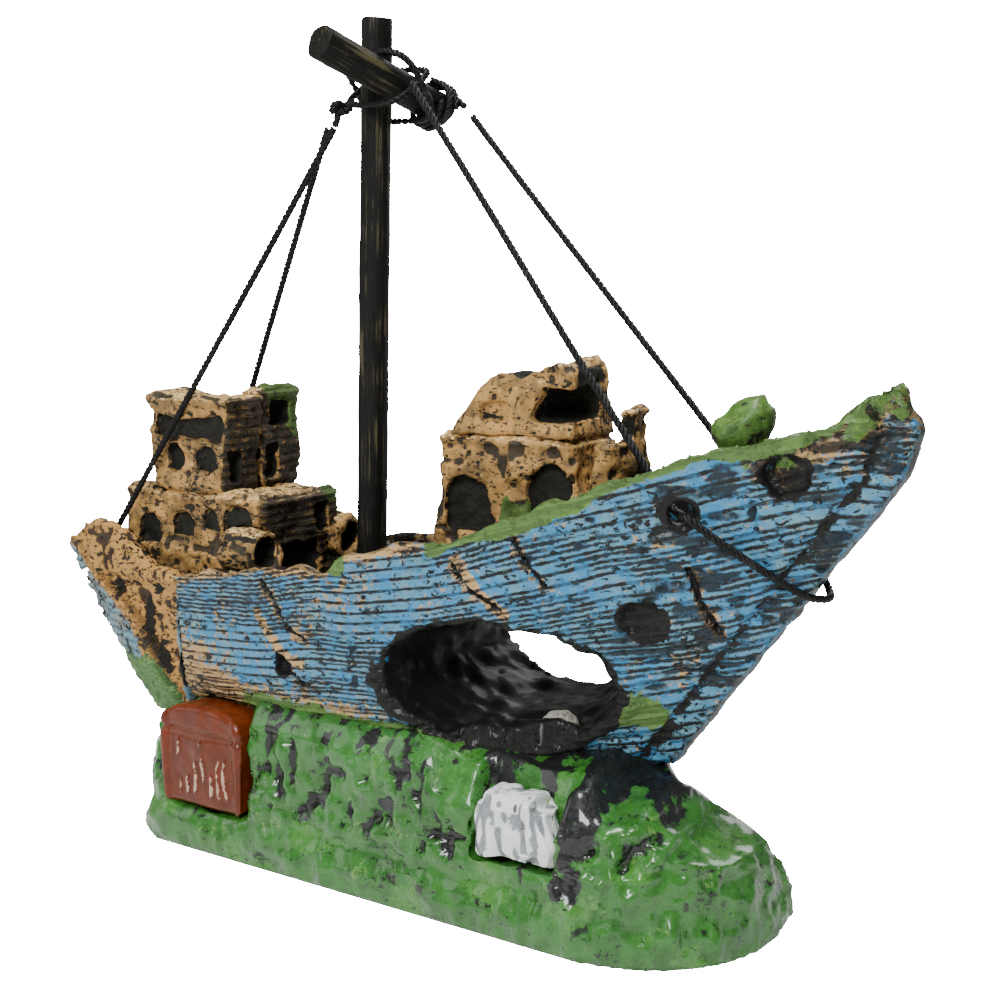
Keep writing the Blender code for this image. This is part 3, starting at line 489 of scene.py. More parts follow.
def hullRelief(p, n):
    x, y, z = p.T
    side = np.sign(y)
    outer = ramp(0.2, 0.5, n[:, 1] * side)
    top = np.interp(x, *np.array(hullShape["sheer"]).T)
    below = top - z
    height = np.clip((z - hullShape["foot"]) / (top - hullShape["foot"]), 0, 1)
    run = np.interp(x, *np.array(hullShape["run"]).T)
    strake = (z - (run - 37) * (0.3 + 0.62 * height)) / hullShape["strakeWidth"] + 0.3 * lumps(p, 9, 4)
    worn = ramp(-0.5, 0.3, lumps(p, (11, 11, 3), 5))
    grooves = planking(strake) * (0.35 + 0.65 * worn) * outer
    reach = caveReach(p) + 0.05 * lumps(p, 3.0, 21) + 0.03 * lumps(p, 1.4, 22)
    inCave = ramp(1.1, 1.0, reach) * ramp(17.5, 16.5, np.abs(y))
    lip = np.exp(-((reach - 1.1) / 0.09) ** 2) * ramp(33, 28, z) * outer
    crack = np.full(len(p), 99.0)
    for line in hullShape["cracks"]:
        crack = np.minimum(crack, nearLine(p, line) + 0.25 * lumps(p, 1.2, 31))
    crack = crack + 5 * (1 - outer)
    board = np.full(len(p), 99.0)
    for line in hullShape["boards"]:
        board = np.minimum(board, nearLine(p, line))
    board = board + 5 * (1 - outer)
    shift = 0.35 * lumps(p, 8, 1) + 0.16 * lumps(p, 3, 2) + 0.09 * lumps(p, 1.3, 3)
    pitted = ramp(0.5, 0.72, lumps(p, (1.7, 1.7, 1.0), 7)) * ramp(-0.3, 0.4, lumps(p, 9, 8))
    lowBow = ramp(30, 44, x) * ramp(48, 36, z)
    pitted = np.maximum(pitted, ramp(0.3, 0.6, lumps(p, (2.2, 2.2, 1.3), 18)) * lowBow)
    shift -= 0.34 * grooves + 0.35 * pitted
    shift += 0.9 * lip - 0.9 * ramp(0.5, 0.15, crack) + 0.4 * ramp(0.8, 0.4, board)
    chunky = ramp(44, 50, x) * ramp(6.0, 3.0, below)
    shift += chunky * (0.6 * lumps(p, 2.4, 24) + 0.35 * lumps(p, 1.2, 25))
    pitted = np.maximum(pitted, chunky * ramp(0.1, 0.5, -lumps(p, 1.6, 27)))
    shift += inCave * (0.5 * lumps(p, 2.6, 9) + 0.25 * lumps(p, 1.2, 10)) * (reach > 0.9)
    # broken rail: chips along its top edge
    rail = ramp(1.4, 0.2, below) * ramp(0.2, 0.7, n[:, 2])
    moved = p + n * shift[:, None]
    moved[:, 2] += rail * (0.9 * lumps(p, (3.4, 9, 9), 12) + 0.45 * lumps(p, (1.5, 6, 6), 13) - 0.2)
    # stem: a raised keel strip with a sunken groove behind it
    back = (lineX(hullShape["stem"], z) - x) * 0.8
    groove = np.exp(-((back - 2.6) / 0.7) ** 2) * outer
    moved -= n * (0.55 * groove)[:, None]
    moved[:, 2] = np.maximum(moved[:, 2], hullShape["foot"] - hullShape["footGrip"])
    # a sill across the passage's starboard mouth
    mouth = ramp(-5.6, -7.4, y) * ramp(9, 13, x) * ramp(27, 22, x)
    moved[:, 2] += hullShape["sillLift"] * inCave * ramp(0.2, 0.7, n[:, 2]) * ramp(29, 26, z) * mouth
    # paint masks
    inner = ramp(0.2, -0.3, n[:, 1] * side) * ramp(0.6, 1.4, below)
    deck = ramp(0.5, 0.8, n[:, 2]) * ramp(1.2, 2.2, below)
    patch = lumps(p, 5, 14)
    mossBand = ramp(2.6 + 1.6 * patch, 1.2 + patch, below) * ramp(7.5, 9.5, x) * ramp(0.35, 0.0, inner)
    mossBand = np.maximum(mossBand, ramp(2.0, 1.0, np.hypot(x + 5.6, z - 42.2)))
    mossBand = np.maximum(mossBand, ramp(4.5, 2.0, np.hypot(x - 32.5, (z - 27.5) * 1.3) + patch) * outer)
    footMoss = ramp(24.0, 21.6, z + 0.8 * patch) * ramp(-30, -20, x) * ramp(20, 10, x)
    moss = np.clip(mossBand * (1 - 0.35 * ramp(50, 56, x)) + footMoss, 0, 1)
    tufts = ramp(-0.2, 0.4, lumps(p, 3.0, 28))
    moss = np.maximum(moss, 0.6 * ramp(44, 49, x) * ramp(5.0, 3.0, below) * tufts)
    dryBrushAndHighlight = 0.6 * ramp(1.6, 0.4, below) * ramp(12, 4, x) + 0.3 * ramp(1.2, 0.5, crack) * outer
    dryBrushAndHighlight += 0.85 * ramp(0.8, 0.4, board) + 0.5 * ramp(26.5, 22.0, z) * ramp(8, -6, x)
    dryBrushAndHighlight += 0.2 * ramp(0.2, 0.7, patch)
    dryBrushAndHighlight += 0.6 * ramp(45, 50, x) * ramp(6.0, 3.0, below + patch) + 0.55 * ramp(33, 26, z) * ramp(-24, -34, x)
    # painted shade: the passage's inside and the rim of its mouth are painted near black; cracks, holes, the
    # deck, the bulwark's inner face and the stem's groove are darkened too
    washAndShadeMask = 1.0 * inCave + ramp(1.22, 1.12, reach) * lip + ramp(0.5, 0.2, crack) + 0.85 * deck + 0.6 * inner
    washAndShadeMask += 0.6 * groove + 0.3 * ramp(30, 22, z) * ramp(22, 30, x) * outer
    washAndShadeMask += 0.3 * ramp(28, 23, z) * ramp(-20, -33, x) * outer
    for holeX, holeZ, radius, pale in hullShape["holes"]:
        hole = np.hypot(x - holeX, z - holeZ) + 0.4 * lumps(p, 1.5, 17)
        middle = ramp(radius - 0.6, radius - 1.4, hole)
        washAndShadeMask += ramp(radius + 0.1, radius - 0.4, hole) * (1.0 - 0.55 * middle * pale)
        dryBrushAndHighlight += 0.8 * ramp(radius - 0.8, radius - 1.4, hole) * pale
    weather = 0.55 * ramp(0.0, 0.5, lumps(p, (3.2, 3.2, 1.4), 26)) * (0.5 + 0.5 * ramp(24, 40, x)) * outer
    hollow = np.clip(0.9 * pitted + 0.75 * ramp(0.4, 0.95, grooves) + weather, 0, 1) * (1 - 0.5 * moss)
    washAndShadeMask = np.clip(washAndShadeMask - 0.8 * moss * (1 - inCave), 0, 1)
    return moved, {"dryBrushAndHighlight": np.clip(dryBrushAndHighlight, 0, 1), "washAndShadeMask": washAndShadeMask, "moss": moss, "hollow": hollow,
                   "strake": np.where(outer > 0.3, strake, 0.0)}


sculpt("hullCasting", "hull", 0.6, hullRelief, hullPaint,
       finer=lambda c, n: n.y * c.y > 0 and abs(n.y) > 0.35)


sternShape = {"rim": [(-62.6, 40.0), (-57.0, 36.5), (-51.0, 33.0), (-47.0, 28.6), (-43.8, 24.0),
                      (-39.5, 20.0)],
              "plankWidth": 1.25, "lowest": 15.9, "aftmost": -64.6}


def sternRelief(p, n):
    x, y, z = p.T
    side = np.sign(y)
    outer = ramp(0.2, 0.5, n[:, 1] * side)
    rim = nearLine(p, sternShape["rim"]) + 5 * (1 - np.maximum(outer, ramp(0.3, 0.7, n[:, 2])))
    behind = ramp(0.6, 1.8, x - lineX(sternShape["rim"], z))  # the broken hollow between transom and hull
    shift = 0.4 * lumps(p, 7, 41) + 0.3 * lumps(p, 2.8, 42) * (0.5 + behind) + 0.12 * lumps(p, 1.2, 43)
    shift -= 1.2 * behind * outer * ramp(36.5, 34.5, z) * ramp(17, 21, z)
    pitted = ramp(0.25, 0.55, lumps(p, 1.7, 49)) * behind + ramp(0.35, 0.6, lumps(p, 1.1, 50)) * 0.8
    shift += 0.6 * ramp(1.3, 0.3, rim) - 0.45 * pitted
    strake = z / sternShape["plankWidth"] + 0.2 * lumps(p, 8, 44)
    shift -= 0.14 * planking(strake)
    moved = p + n * shift[:, None]
    top = ramp(0.3, 0.8, n[:, 2]) * ramp(36.5, 38, z)
    moved[:, 2] += top * (0.8 * lumps(p, 3.2, 45) + 0.3 * lumps(p, 1.4, 46))
    moved[:, 2] = np.maximum(moved[:, 2], sternShape["lowest"])
    moved[:, 0] = np.maximum(moved[:, 0], sternShape["aftmost"])
    tan = np.clip(behind * outer + ramp(1.4, 0.8, rim) + top + ramp(0.4, 0.8, n[:, 2]), 0, 1)
    inside = ramp(0.1, -0.3, n[:, 1] * side) * ramp(35, 36, z) + ramp(0.7, 0.9, n[:, 2]) * ramp(37, 36, z)
    moss = ramp(29, 21, z + 2.5 * lumps(p, 4, 47)) * (1 - behind)
    streaks = ramp(0.0, 0.45, lumps(p, (3.0, 3.0, 5.0), 48)) * ramp(37, 34, z)
    washAndShadeMask = 0.7 * inside + 0.9 * behind * outer * streaks
    return moved, {"dryBrushAndHighlight": tan, "washAndShadeMask": np.clip(washAndShadeMask, 0, 1) * (1 - 0.3 * ramp(1.4, 0.8, rim)), "moss": moss,
                   "strake": np.where(behind > 0.5, 0.5, strake), "hollow": np.clip(pitted, 0, 1)}


# the same resin again, its blue thinned to grey over the transom
sternPaint = paintedResin(
    "castResinGreyBlueAcrylic",
    {"main": "#6C93A6", "second": "#8A9690", "dryBrushAndHighlight": "#B88A4A", "moss": "#6C9656",
     "moss2": "#587E46", "washAndShadeColour": "#1C1914"},
    roughness=0.55, coat=0.0, speck=0.34, groove=0.35,
    bumpDepth=0.22, dryness=0.05, stain=-0.04, pitting=0.1)
sculpt("sternQuarterCasting", "stern_quarter", 0.4, sternRelief, sternPaint)
print("hull done")


def deckhouseRelief(low, high, seed, ledge, taper=(1.0, 1.0), mossAt=(), planked=True, slope=0.0):
    def relief(p, n):
        x, y, z = p.T
        share = np.clip((z - low[2]) / (high[2] - low[2]), 0, 1)
        middle, half = (low + high) / 2, (high - low) / 2
        wide = [half[i] * (1 + (taper[i] - 1) * share) for i in (0, 1)]
        depth = np.minimum(wide[0] - np.abs(x - middle[0]), wide[1] - np.abs(y - middle[1]))
        depth = np.minimum(depth, high[2] - z)
        sunk = ramp(0.45, 0.95, depth)  # floor and walls of windows and doorways
        rough = 0.5 * lumps(p, 3.2, seed) + 0.3 * lumps(p, 1.7, seed + 1) + 0.16 * lumps(p, 0.9, seed + 2)
        foot = np.exp(-((z - low[2] - 0.3) / 0.9) ** 2) * ramp(0.8, 0.3, np.abs(n[:, 2]))
        shift = rough * (1 - 0.4 * sunk) + 0.4 * foot * ramp(44, 46, z)
        shift += ledge * np.exp(-((high[2] - 0.7 - z) / 0.7) ** 2) * ramp(0.8, 0.3, n[:, 2])
        strake = z / 1.15 + 0.12 * lumps(p, 5, seed + 3)
        front = ramp(0.5, 0.8, n[:, 0]) * planked
        grooves = front * planking(strake)
        pitted = ramp(0.34, 0.62, lumps(p, 1.2, seed + 4)) + ramp(0.42, 0.68, lumps(p, 2.2, seed + 7))
        shift -= 0.4 * grooves + 0.34 * np.minimum(pitted, 1.0)
        moved = p + n * shift[:, None]
        moved[:, 2] -= 0.55 * ramp(1.0, 0.2, z - low[2]) * (low[2] > 44)
        moved[:, :2] += 0.5 * np.stack([lumps(p, 5.5, seed + 8), lumps(p, 5.5, seed + 9)], axis=1)
        moved[:, 0] += slope * share * np.clip((high[0] - x) / (high[0] - low[0]), 0, 1)
        moss = np.zeros(len(p))
        for spot, radius in mossAt:
            gap = np.linalg.norm(p - np.array(spot), axis=1) + 1.2 * lumps(p, 2, seed + 5)
            moss = np.maximum(moss, ramp(radius, radius * 0.55, gap))
        edge = ramp(1.2, 0.5, high[2] - z)
        washAndShadeMask = 0.95 * sunk + 0.2 * front + 0.25 * ramp(0.35, 0.7, lumps(p, 4, seed + 6)) - 0.5 * edge
        hollow = np.clip(0.9 * pitted + 0.9 * grooves + 0.35 * front, 0, 1)
        return moved, {"dryBrushAndHighlight": 0.35 * edge, "washAndShadeMask": np.clip(washAndShadeMask, 0, 1), "moss": moss, "hollow": hollow,
                       "strake": np.where(front > 0.3, strake, 0.5)}

    return relief


# taper is the top's share of the foot along x and y; moss grows round a spot, within a radius
houses = {
    "stern_castle": {"taper": (0.98, 0.92), "seed": 60, "mossAt": [((-26.5, 6.5, 48), 3.0)], "ledge": 0.5},
    "stern_tower": {"seed": 70, "ledge": 0.6},
    "stern_turret": {"taper": (1.0, 0.98), "seed": 80, "ledge": 0.5,
                     "mossAt": [((-35, 5, 62.5), 4.6), ((-33.3, 8, 57), 3.6)]},
    "barrel_starboard": {"seed": 90, "ledge": 0.0, "planked": False},
    "barrel_port": {"seed": 95, "ledge": 0.0, "planked": False},
    "fore_deckhouse": {"taper": (0.86, 0.95), "seed": 100, "ledge": 0.4, "planked": False,
                       "mossAt": [((16, -5.5, 47), 5.0), ((13, -5.5, 48), 3.0)]},
    "fore_cabin": {"taper": (1.0, 0.85), "seed": 110, "ledge": 0.2, "planked": False, "slope": 3.0},
    "fore_annex": {"taper": (0.9, 1.0), "seed": 120, "ledge": 0.3, "planked": False},
}
for node, settings in houses.items():
    first, second = node.split("_")
    sculpt(first + second.capitalize() + "Casting", node, 0.3,
           deckhouseRelief(*boxOf(node), **settings), castlePaint)
print("deckhouses done")


# heights and widths in mm; the fall is how far the top has dropped at each distance towards the port bow
rockShape = {"waist": 6.6, "seat": 19.7, "halfWidth": 18.3, "lean": 2.6, "shoulderDrop": 4.6,
             "footHalf": [(6, 13.0), (14, 9.5), (34, 1.5)], "bowWay": (0.809, 0.588),
             "fall": [(27.5, 0.0), (29.5, 0.6), (34.0, 3.8), (38.3, 7.4), (39.3, 9.6), (42.0, 12.0)]}


def rockRelief(p, n):
    x, y, z = p.T
    wall = ramp(0.8, 0.4, np.abs(n[:, 2]))
    free = ramp(0.1, 1.2, z)  # the underside stays flat
    shift = 0.6 * lumps(p, 13, 131) + 0.45 * lumps(p, 5.5, 132)
    shift += 0.34 * lumps(p, 2.4, 133) + 0.2 * lumps(p, 1.1, 134)
    shift += 0.35 * np.exp(-((z - 3.4) / 1.8) ** 2)
    shift -= 0.45 * np.exp(-((z - rockShape["waist"]) / 1.1) ** 2) * ramp(30, 22, x)
    zone = ramp(7.0, 9.5, z) * ramp(-31, -27, x) * ramp(16, 10, x)
    drip = ramp(0.2, 0.42, lumps(p, (1.15, 1.15, 2.2), 135)) * zone
    zone = ramp(4, 8, z) * ramp(42, 36, x) * 0.9
    drip = np.maximum(drip, ramp(0.45, 0.65, lumps(p, (1.8, 1.8, 3.4), 136)) * zone)
    shift -= 0.9 * drip * wall
    ridges = 1 - np.abs(lumps(p, (2.6, 2.6, 7.5), 137))
    shift += 0.6 * ramp(0.72, 0.98, ridges) * ramp(16, 28, x) * wall
    shift += 0.3 * ramp(0.8, 0.98, 1 - np.abs(lumps(p, (2.2, 2.2, 3.6), 147))) * wall
    moved = p + n * (shift * free)[:, None]
    # the top leans up against the hull
    up = ramp(0.6, 0.9, n[:, 2]) * ramp(17.5, 19.0, z) * ramp(16.9, 14.2, np.abs(y))
    moved[:, 2] += rockShape["lean"] * up * ramp(-37, -33, x) * ramp(33, 29, x)
    # forward of midships the shoulder slopes down from the hull's foot
    footHalf = np.interp(x, *np.array(rockShape["footHalf"]).T)
    out = np.clip((np.abs(y) - footHalf) / (17.5 - footHalf), 0, 1)
    moved[:, 2] -= rockShape["shoulderDrop"] * out ** 1.2 * ramp(5, 13, x) * ramp(8, 19, z)
    # ahead of the stem the rock falls away to the port bow
    bowX, bowY = rockShape["bowWay"]
    ahead = bowX * x + bowY * y
    across = bowX * y - bowY * x
    fall = np.interp(ahead, *np.array(rockShape["fall"]).T)
    cap = rockShape["seat"] - fall - 0.315 * np.maximum(across + 27.5, 0) + 0.5 * lumps(p, 3.5, 146)
    ease = ramp(26.5, 28.5, ahead)
    cut = ease * ramp(-0.5, 0.8, z - cap)
    moved[:, 2] = np.where(ease > 0, np.minimum(moved[:, 2], z + (cap - z) * ease), moved[:, 2])
    moved[:, 1] = np.clip(moved[:, 1], -rockShape["halfWidth"], rockShape["halfWidth"])
    moved[:, 2] = np.where(z < 0.1, 0.0, np.maximum(moved[:, 2], 0.0))
    # black neck under the bow and the run beside the boulder
    neck = ramp(0.62, 0.3, out + 0.3 * lumps(p, (1.6, 1.6, 3), 138)) * ramp(15, 18, z) * ramp(10, 15, x)
    neck += cut * ramp(38, 34, ahead)
    run = ramp(2.6, 1.3, np.abs(x - 29.8 - 0.1 * (z - 12)) + 0.6 * lumps(p, 3, 139)) * ramp(5.5, 8, z)
    chestRun = ramp(2.2, 1.0, np.abs(x + 30.6) + 0.5 * lumps(p, 2.4, 140)) * ramp(7, 10, z)
    washAndShadeMask = np.clip(0.85 * drip + 0.75 * neck + 0.8 * run + 0.8 * chestRun, 0, 1)
    hollow = 0.7 * ramp(0.42, 0.7, lumps(p, 1.4, 142)) * ramp(-0.2, 0.4, lumps(p, 8, 143)) + 0.4 * drip
    return moved, {"dryBrushAndHighlight": 0.3 * ramp(0.3, 0.7, lumps(p, 3, 144)), "washAndShadeMask": washAndShadeMask,
                   "moss": ramp(0.0, 0.6, lumps(p, 6, 145)) * 0.6, "hollow": hollow}


sculpt("rockCasting", "base_rock", 0.5, rockRelief, rockPaint)


def knobRelief(p, n):
    low, high = boxOf("bow_bollard")
    middle, half = (low + high) / 2, (high - low) / 2
    bowX, bowY = rockShape["bowWay"]
    shift = 0.35 * lumps(p, 3.4, 151) + 0.25 * lumps(p, 1.6, 152)
    moved = p + n * shift[:, None]
    ahead = ((p[:, 0] - middle[0]) * bowX + (p[:, 1] - middle[1]) * bowY) / half[0]
    tall = np.clip((p[:, 2] - middle[2]) / half[2], 0, 1)
    moved[:, 2] -= 1.5 * tall * np.clip(0.6 - ahead, 0, 1.3)  # the top slants up to the fore side
    moved[:, 0] += 0.9 * tall
    washAndShadeMask = ramp(0.3, 0.6, lumps(p, 2.2, 153)) * 0.6
    return moved, {"washAndShadeMask": washAndShadeMask, "moss": np.full(len(p), 0.6), "hollow": ramp(0.3, 0.6, lumps(p, 1.4, 154))}


# weathered moss: the green of the rail, flatter than the rock
knobPaint = paintedResin(
    "castResinMossAcrylic",
    {"main": "#6C8440", "second": "#566F32", "dryBrushAndHighlight": "#A89A68", "moss": "#5C8038",
     "moss2": "#46682A", "washAndShadeColour": "#1C1C16"},
    roughness=0.45, coat=0.15, speck=0.45, groove=0.0,
    bumpDepth=0.16, dryness=0.2, stain=-0.02, pitting=0.05)
sculpt("bollardCasting", "bow_bollard", 0.35, knobRelief, knobPaint)


starboardReach = -18.4  # how far the chest and the boulder may bulge to starboard, in mm


def chestRelief(p, n):
    x, z = p[:, 0], p[:, 2]
    low, high = boxOf("treasure_chest")
    across = (x - low[0]) / (high[0] - low[0])
    tall = (z - low[2]) / (high[2] - low[2])
    bulge = np.sin(np.pi * np.clip(across, 0, 1)) * np.sin(np.pi * np.clip(tall, 0, 1))
    front = ramp(0.3, 0.7, -n[:, 1])
    strokes = ramp(0.35, 0.8, np.cos(2 * np.pi * (x / 1.45 + 0.35 * lumps(p, 3, 165))))
    strokes *= ramp(-0.1, 0.25, lumps(p, (1.5, 3, 2.4), 161))
    strokes *= ramp(0.12, 0.22, across) * ramp(0.9, 0.8, across)
    strokes *= ramp(0.08, 0.16, tall) * ramp(0.72, 0.6, tall)
    frameEdge = np.maximum(ramp(0.12, 0.06, across), ramp(0.88, 0.94, across))
    lid = np.exp(-((tall - 0.74) / 0.035) ** 2)
    shift = 0.3 * bulge + 0.22 * lumps(p, 4, 162) + 0.1 * lumps(p, 1.6, 163)
    shift += front * (0.35 * strokes + 0.4 * frameEdge - 0.4 * lid)
    moved = p + n * shift[:, None]
    moved[:, 1] = np.maximum(moved[:, 1], starboardReach)
    # painted highlights: the tops of the raised brush strokes on the front are painted pale
    return moved, {"dryBrushAndHighlight": 0.75 * strokes * front, "washAndShadeMask": 0.35 * lid * front,
                   "hollow": 0.2 * ramp(0.4, 0.7, lumps(p, 1.5, 164))}


# thick red-brown gloss enamel over resin: brush ridges that catch the light, with painted highlights in pale
# brown on their tops
chestPaint = paintedResin(
    "castResinRedBrownGloss",
    {"main": "#6C2A06", "second": "#5A2205", "dryBrushAndHighlight": "#C8A48C", "moss": "#6C2A06",
     "moss2": "#6C2A06", "washAndShadeColour": "#2A120A"},
    roughness=0.35, coat=0.2, speck=0.5, groove=0.0,
    bumpDepth=0.08, dryness=0.0, stain=-0.15, pitting=-0.2)
sculpt("chestCasting", "treasure_chest", 0.2, chestRelief, chestPaint)


def boulderRelief(p, n):
    low, high = boxOf("pale_boulder")
    middle = (low + high) / 2
    reach = (p - middle) / (high - middle)
    corner = ramp(0.6, 1.0, np.abs(reach[:, 0])) * ramp(0.3, 1.0, reach[:, 2])
    ridges = lumps(p, (1.3, 1.3, 3.2), 172)
    shift = 0.35 * lumps(p, 3.4, 171) + 0.3 * ridges + 0.12 * lumps(p, (0.7, 0.7, 1.6), 173)
    moved = p + n * shift[:, None]
    moved += (middle - p) * (0.3 * corner)[:, None]
    moved[:, 2] -= 2.0 * ramp(0.0, 1.0, reach[:, 2])
    moved[:, 0] -= 1.2 * ramp(0.0, 1.0, reach[:, 0]) * ramp(-0.6, 0.2, reach[:, 2])
    moved[:, 1] = np.maximum(moved[:, 1], starboardReach)
    strokes = ramp(0.1, 0.5, -lumps(p, (0.7, 0.7, 2.6), 174))
    moved -= n * (0.22 * strokes)[:, None]
    return moved, {"dryBrushAndHighlight": 0.8 * strokes, "washAndShadeMask": 0.5 * ramp(0.35, 0.6, -ridges),
                   "moss": ramp(0.6, 0.75, lumps(p, 1.8, 175)) * 0.4, "hollow": 0.35 * strokes}


# white gloss enamel streaked grey where the wash pulled down between the brush ridges
boulderPaint = paintedResin(
    "castResinWhiteGloss",
    {"main": "#F6F7F8", "second": "#E6E9EB", "dryBrushAndHighlight": "#94989E", "moss": "#7FA860",
     "moss2": "#7FA860", "washAndShadeColour": "#5B5E62"},
    roughness=0.3, coat=1.0, speck=0.45, groove=0.0,
    bumpDepth=0.12, dryness=0.1, stain=0.0, pitting=-0.05)
sculpt("boulderCasting", "pale_boulder", 0.25, boulderRelief, boulderPaint)
print("rock, chest and boulder done")


spar = {"sides": 48, "ringsPerMm": 1.6, "chamfer": 0.25, "stain": "#0C0C0A", "wood": "#4A4530"}


# hardwood dowel in black water stain: dull, with olive wood showing where it rubbed along the grain
def stainedWood():
    material, tree, shader = newMaterial("blackStainedDowel")
    grainway = addNode(tree, "Attribute", attribute_name="grainway").outputs["Vector"]
    scaled = addNode(tree, "Mapping", {"Vector": grainway, "Scale": (1 / (0.35 * mm), 1 / (0.35 * mm),
                                                                     1 / (9 * mm))})
    grain = addNode(tree, "TexNoise", {"Vector": scaled.outputs[0], "Scale": 1.0, "Detail": 4.0})
    blotch = addNode(tree, "TexNoise", {"Vector": grainway, "Scale": 1 / (5 * mm), "Detail": 3.0})
    rub = addNode(tree, "Math", {0: blotch.outputs["Fac"], 1: 0.6, 2: grain.outputs["Fac"]},
                  operation="MULTIPLY_ADD")
    worn = addNode(tree, "MapRange", {"Value": rub.outputs[0], 1: 0.84, 2: 1.04}, **eased)
    paint = addNode(tree, "Mix", {0: worn.outputs[0], 6: linear(spar["stain"]),
                                  7: linear(spar["wood"])}, data_type="RGBA")
    tree.links.new(paint.outputs[2], shader.inputs["Base Color"])
    bump = addNode(tree, "Bump", {"Height": grain.outputs["Fac"], "Strength": 0.6, "Distance": 0.12 * mm})
    tree.links.new(bump.outputs[0], shader.inputs["Normal"])
    shader.inputs["Roughness"].default_value = 0.55
    shader.inputs["Specular IOR Level"].default_value = 0.2
    return material


woodMaterial = stainedWood()


def turnSpar(name, node, body, foot, head, radius, seed):
    foot, head = Vector(foot), Vector(head)
    length = (head - foot).length
    bm = bmesh.new()
    bmesh.ops.create_cone(bm, cap_ends=True, segments=spar["sides"], radius1=radius, radius2=radius,
                          depth=length)
    ends = [e for e in bm.edges if abs(e.verts[0].co.z - e.verts[1].co.z) < 1e-6 and len(e.link_faces) == 2
            and any(len(f.verts) > 4 for f in e.link_faces)]
    bmesh.ops.bevel(bm, geom=ends, offset=spar["chamfer"], segments=3, profile=0.5, affect="EDGES",
                    material=-1)
    long = [e for e in bm.edges if abs(e.verts[0].co.z - e.verts[1].co.z) > length * 0.8]
    bmesh.ops.subdivide_edges(bm, edges=long, cuts=int(length * spar["ringsPerMm"]), use_grid_fill=True)
    bmesh.ops.scale(bm, verts=bm.verts[:], vec=(mm, mm, mm))
    piece = newObject(name, bm)
    points, normals = readPoints(piece.data)
    shift = (0.14 * lumps(points, (2.2, 2.2, 16), seed) + 0.07 * lumps(points, (0.9, 0.9, 9), seed + 1)
             + 0.05 * lumps(points, 1.2, seed + 2))
    sideways = np.hypot(normals[:, 0], normals[:, 1])
    caps = ramp(length / 2 - 0.4, length / 2, np.abs(points[:, 2]))
    points[:, 2] += caps * 0.25 * lumps(points, 1.3, seed + 3)
    moved = points + normals * (shift * sideways - 0.05)[:, None]
    grainway = piece.data.attributes.new("grainway", "FLOAT_VECTOR", "POINT")
    grainway.data.foreach_set("vector", (points * mm).astype(np.float32).ravel())
    writePoints(piece.data, moved)
    turn = (head - foot).to_track_quat("Z", "Y").to_matrix().to_4x4()
    piece.data.transform(Matrix.Translation((foot + head) / 2 * mm) @ turn)
    claim(piece, node, body, woodMaterial)


mastLine = {"foot": (-13.5, 0, 34.0), "rake": math.radians(2.24), "top": 110.4, "radius": 2.05}
yardLine = {"height": 101.7, "along": (0.134, 0.937, -0.324), "starboard": 13.9, "port": 8.2, "radius": 2.15,
            "gap": 0.3}
mastWay = Vector((math.sin(mastLine["rake"]), 0, math.cos(mastLine["rake"])))
mastFoot = Vector(mastLine["foot"])
mastHead = mastFoot + mastWay * ((mastLine["top"] - mastFoot.z) / mastWay.z)
yardWay = Vector(yardLine["along"]).normalized()
crossing = mastFoot + mastWay * ((yardLine["height"] - mastFoot.z) / mastWay.z)
forward = yardWay.cross(mastWay).normalized()
yardMiddle = crossing + forward * (mastLine["radius"] + yardLine["gap"] + yardLine["radius"])
turnSpar("mastDowel", "mast", "wreck", mastFoot, mastHead, mastLine["radius"], 181)
turnSpar("yardDowel", "yard", "yard_body", yardMiddle - yardWay * yardLine["starboard"],
         yardMiddle + yardWay * yardLine["port"], yardLine["radius"], 191)


# each loop's lean across the yard, and how far it lifts off it in mm
lashings = {"lashing_inner": (1.0, 0.0), "lashing_outer": (-1.0, 1.3)}
loopShape = {"steps": 120, "squareness": 0.55, "gap": 0.3, "slack": 0.7, "radius": 0.5}
wrap = {"turns": 2, "steps": 48, "start": 4.9, "pitch": 1.25, "lift": 0.8}
knot = {"middle": (-11.7, -6.2, 98.8), "size": 0.42, "steps": 90}


def lashingLine(lean, extra):
    across = (mastWay + yardWay * lean).normalized()
    gap, radius, squareness = loopShape["gap"], loopShape["radius"], loopShape["squareness"]
    aft = mastLine["radius"] + gap + radius + extra
    fore = mastLine["radius"] + gap + 2 * yardLine["radius"] + gap + radius + extra
    reach = mastLine["radius"] / math.sin(across.angle(mastWay)) + gap + radius + loopShape["slack"]
    points = []
    for i in range(loopShape["steps"]):
        angle = 2 * math.pi * i / loopShape["steps"]
        c, s = [math.copysign(abs(v) ** squareness, v) for v in (math.cos(angle), math.sin(angle))]
        off = (fore - aft) / 2 + (fore + aft) / 2 * c
        points.append((crossing + forward * off + across * reach * s) * mm)
    return points


def wrapLine():
    sideWay = yardWay.cross(forward).normalized()
    points = []
    for i in range(wrap["turns"] * wrap["steps"] + 1):
        turn = i / wrap["steps"]
        ring = forward * math.cos(2 * math.pi * turn) + sideWay * math.sin(2 * math.pi * turn)
        along = yardWay * (wrap["start"] + wrap["pitch"] * turn)
        points.append((yardMiddle + along + ring * (yardLine["radius"] + wrap["lift"])) * mm)
    return points


def knotLine():  # an overhand knot drawn tight
    points = []
    for i in range(knot["steps"]):
        t = 2 * math.pi * i / knot["steps"]
        bend = Vector((math.sin(t) + 2 * math.sin(2 * t), math.cos(t) - 2 * math.cos(2 * t),
                       -math.sin(3 * t)))
        points.append((Vector(knot["middle"]) + bend * knot["size"]) * mm)
    return points


def addCord(name, path, node, body, closed=False):
    claim(layCord(name, path, closed), node, body, cordMaterial)


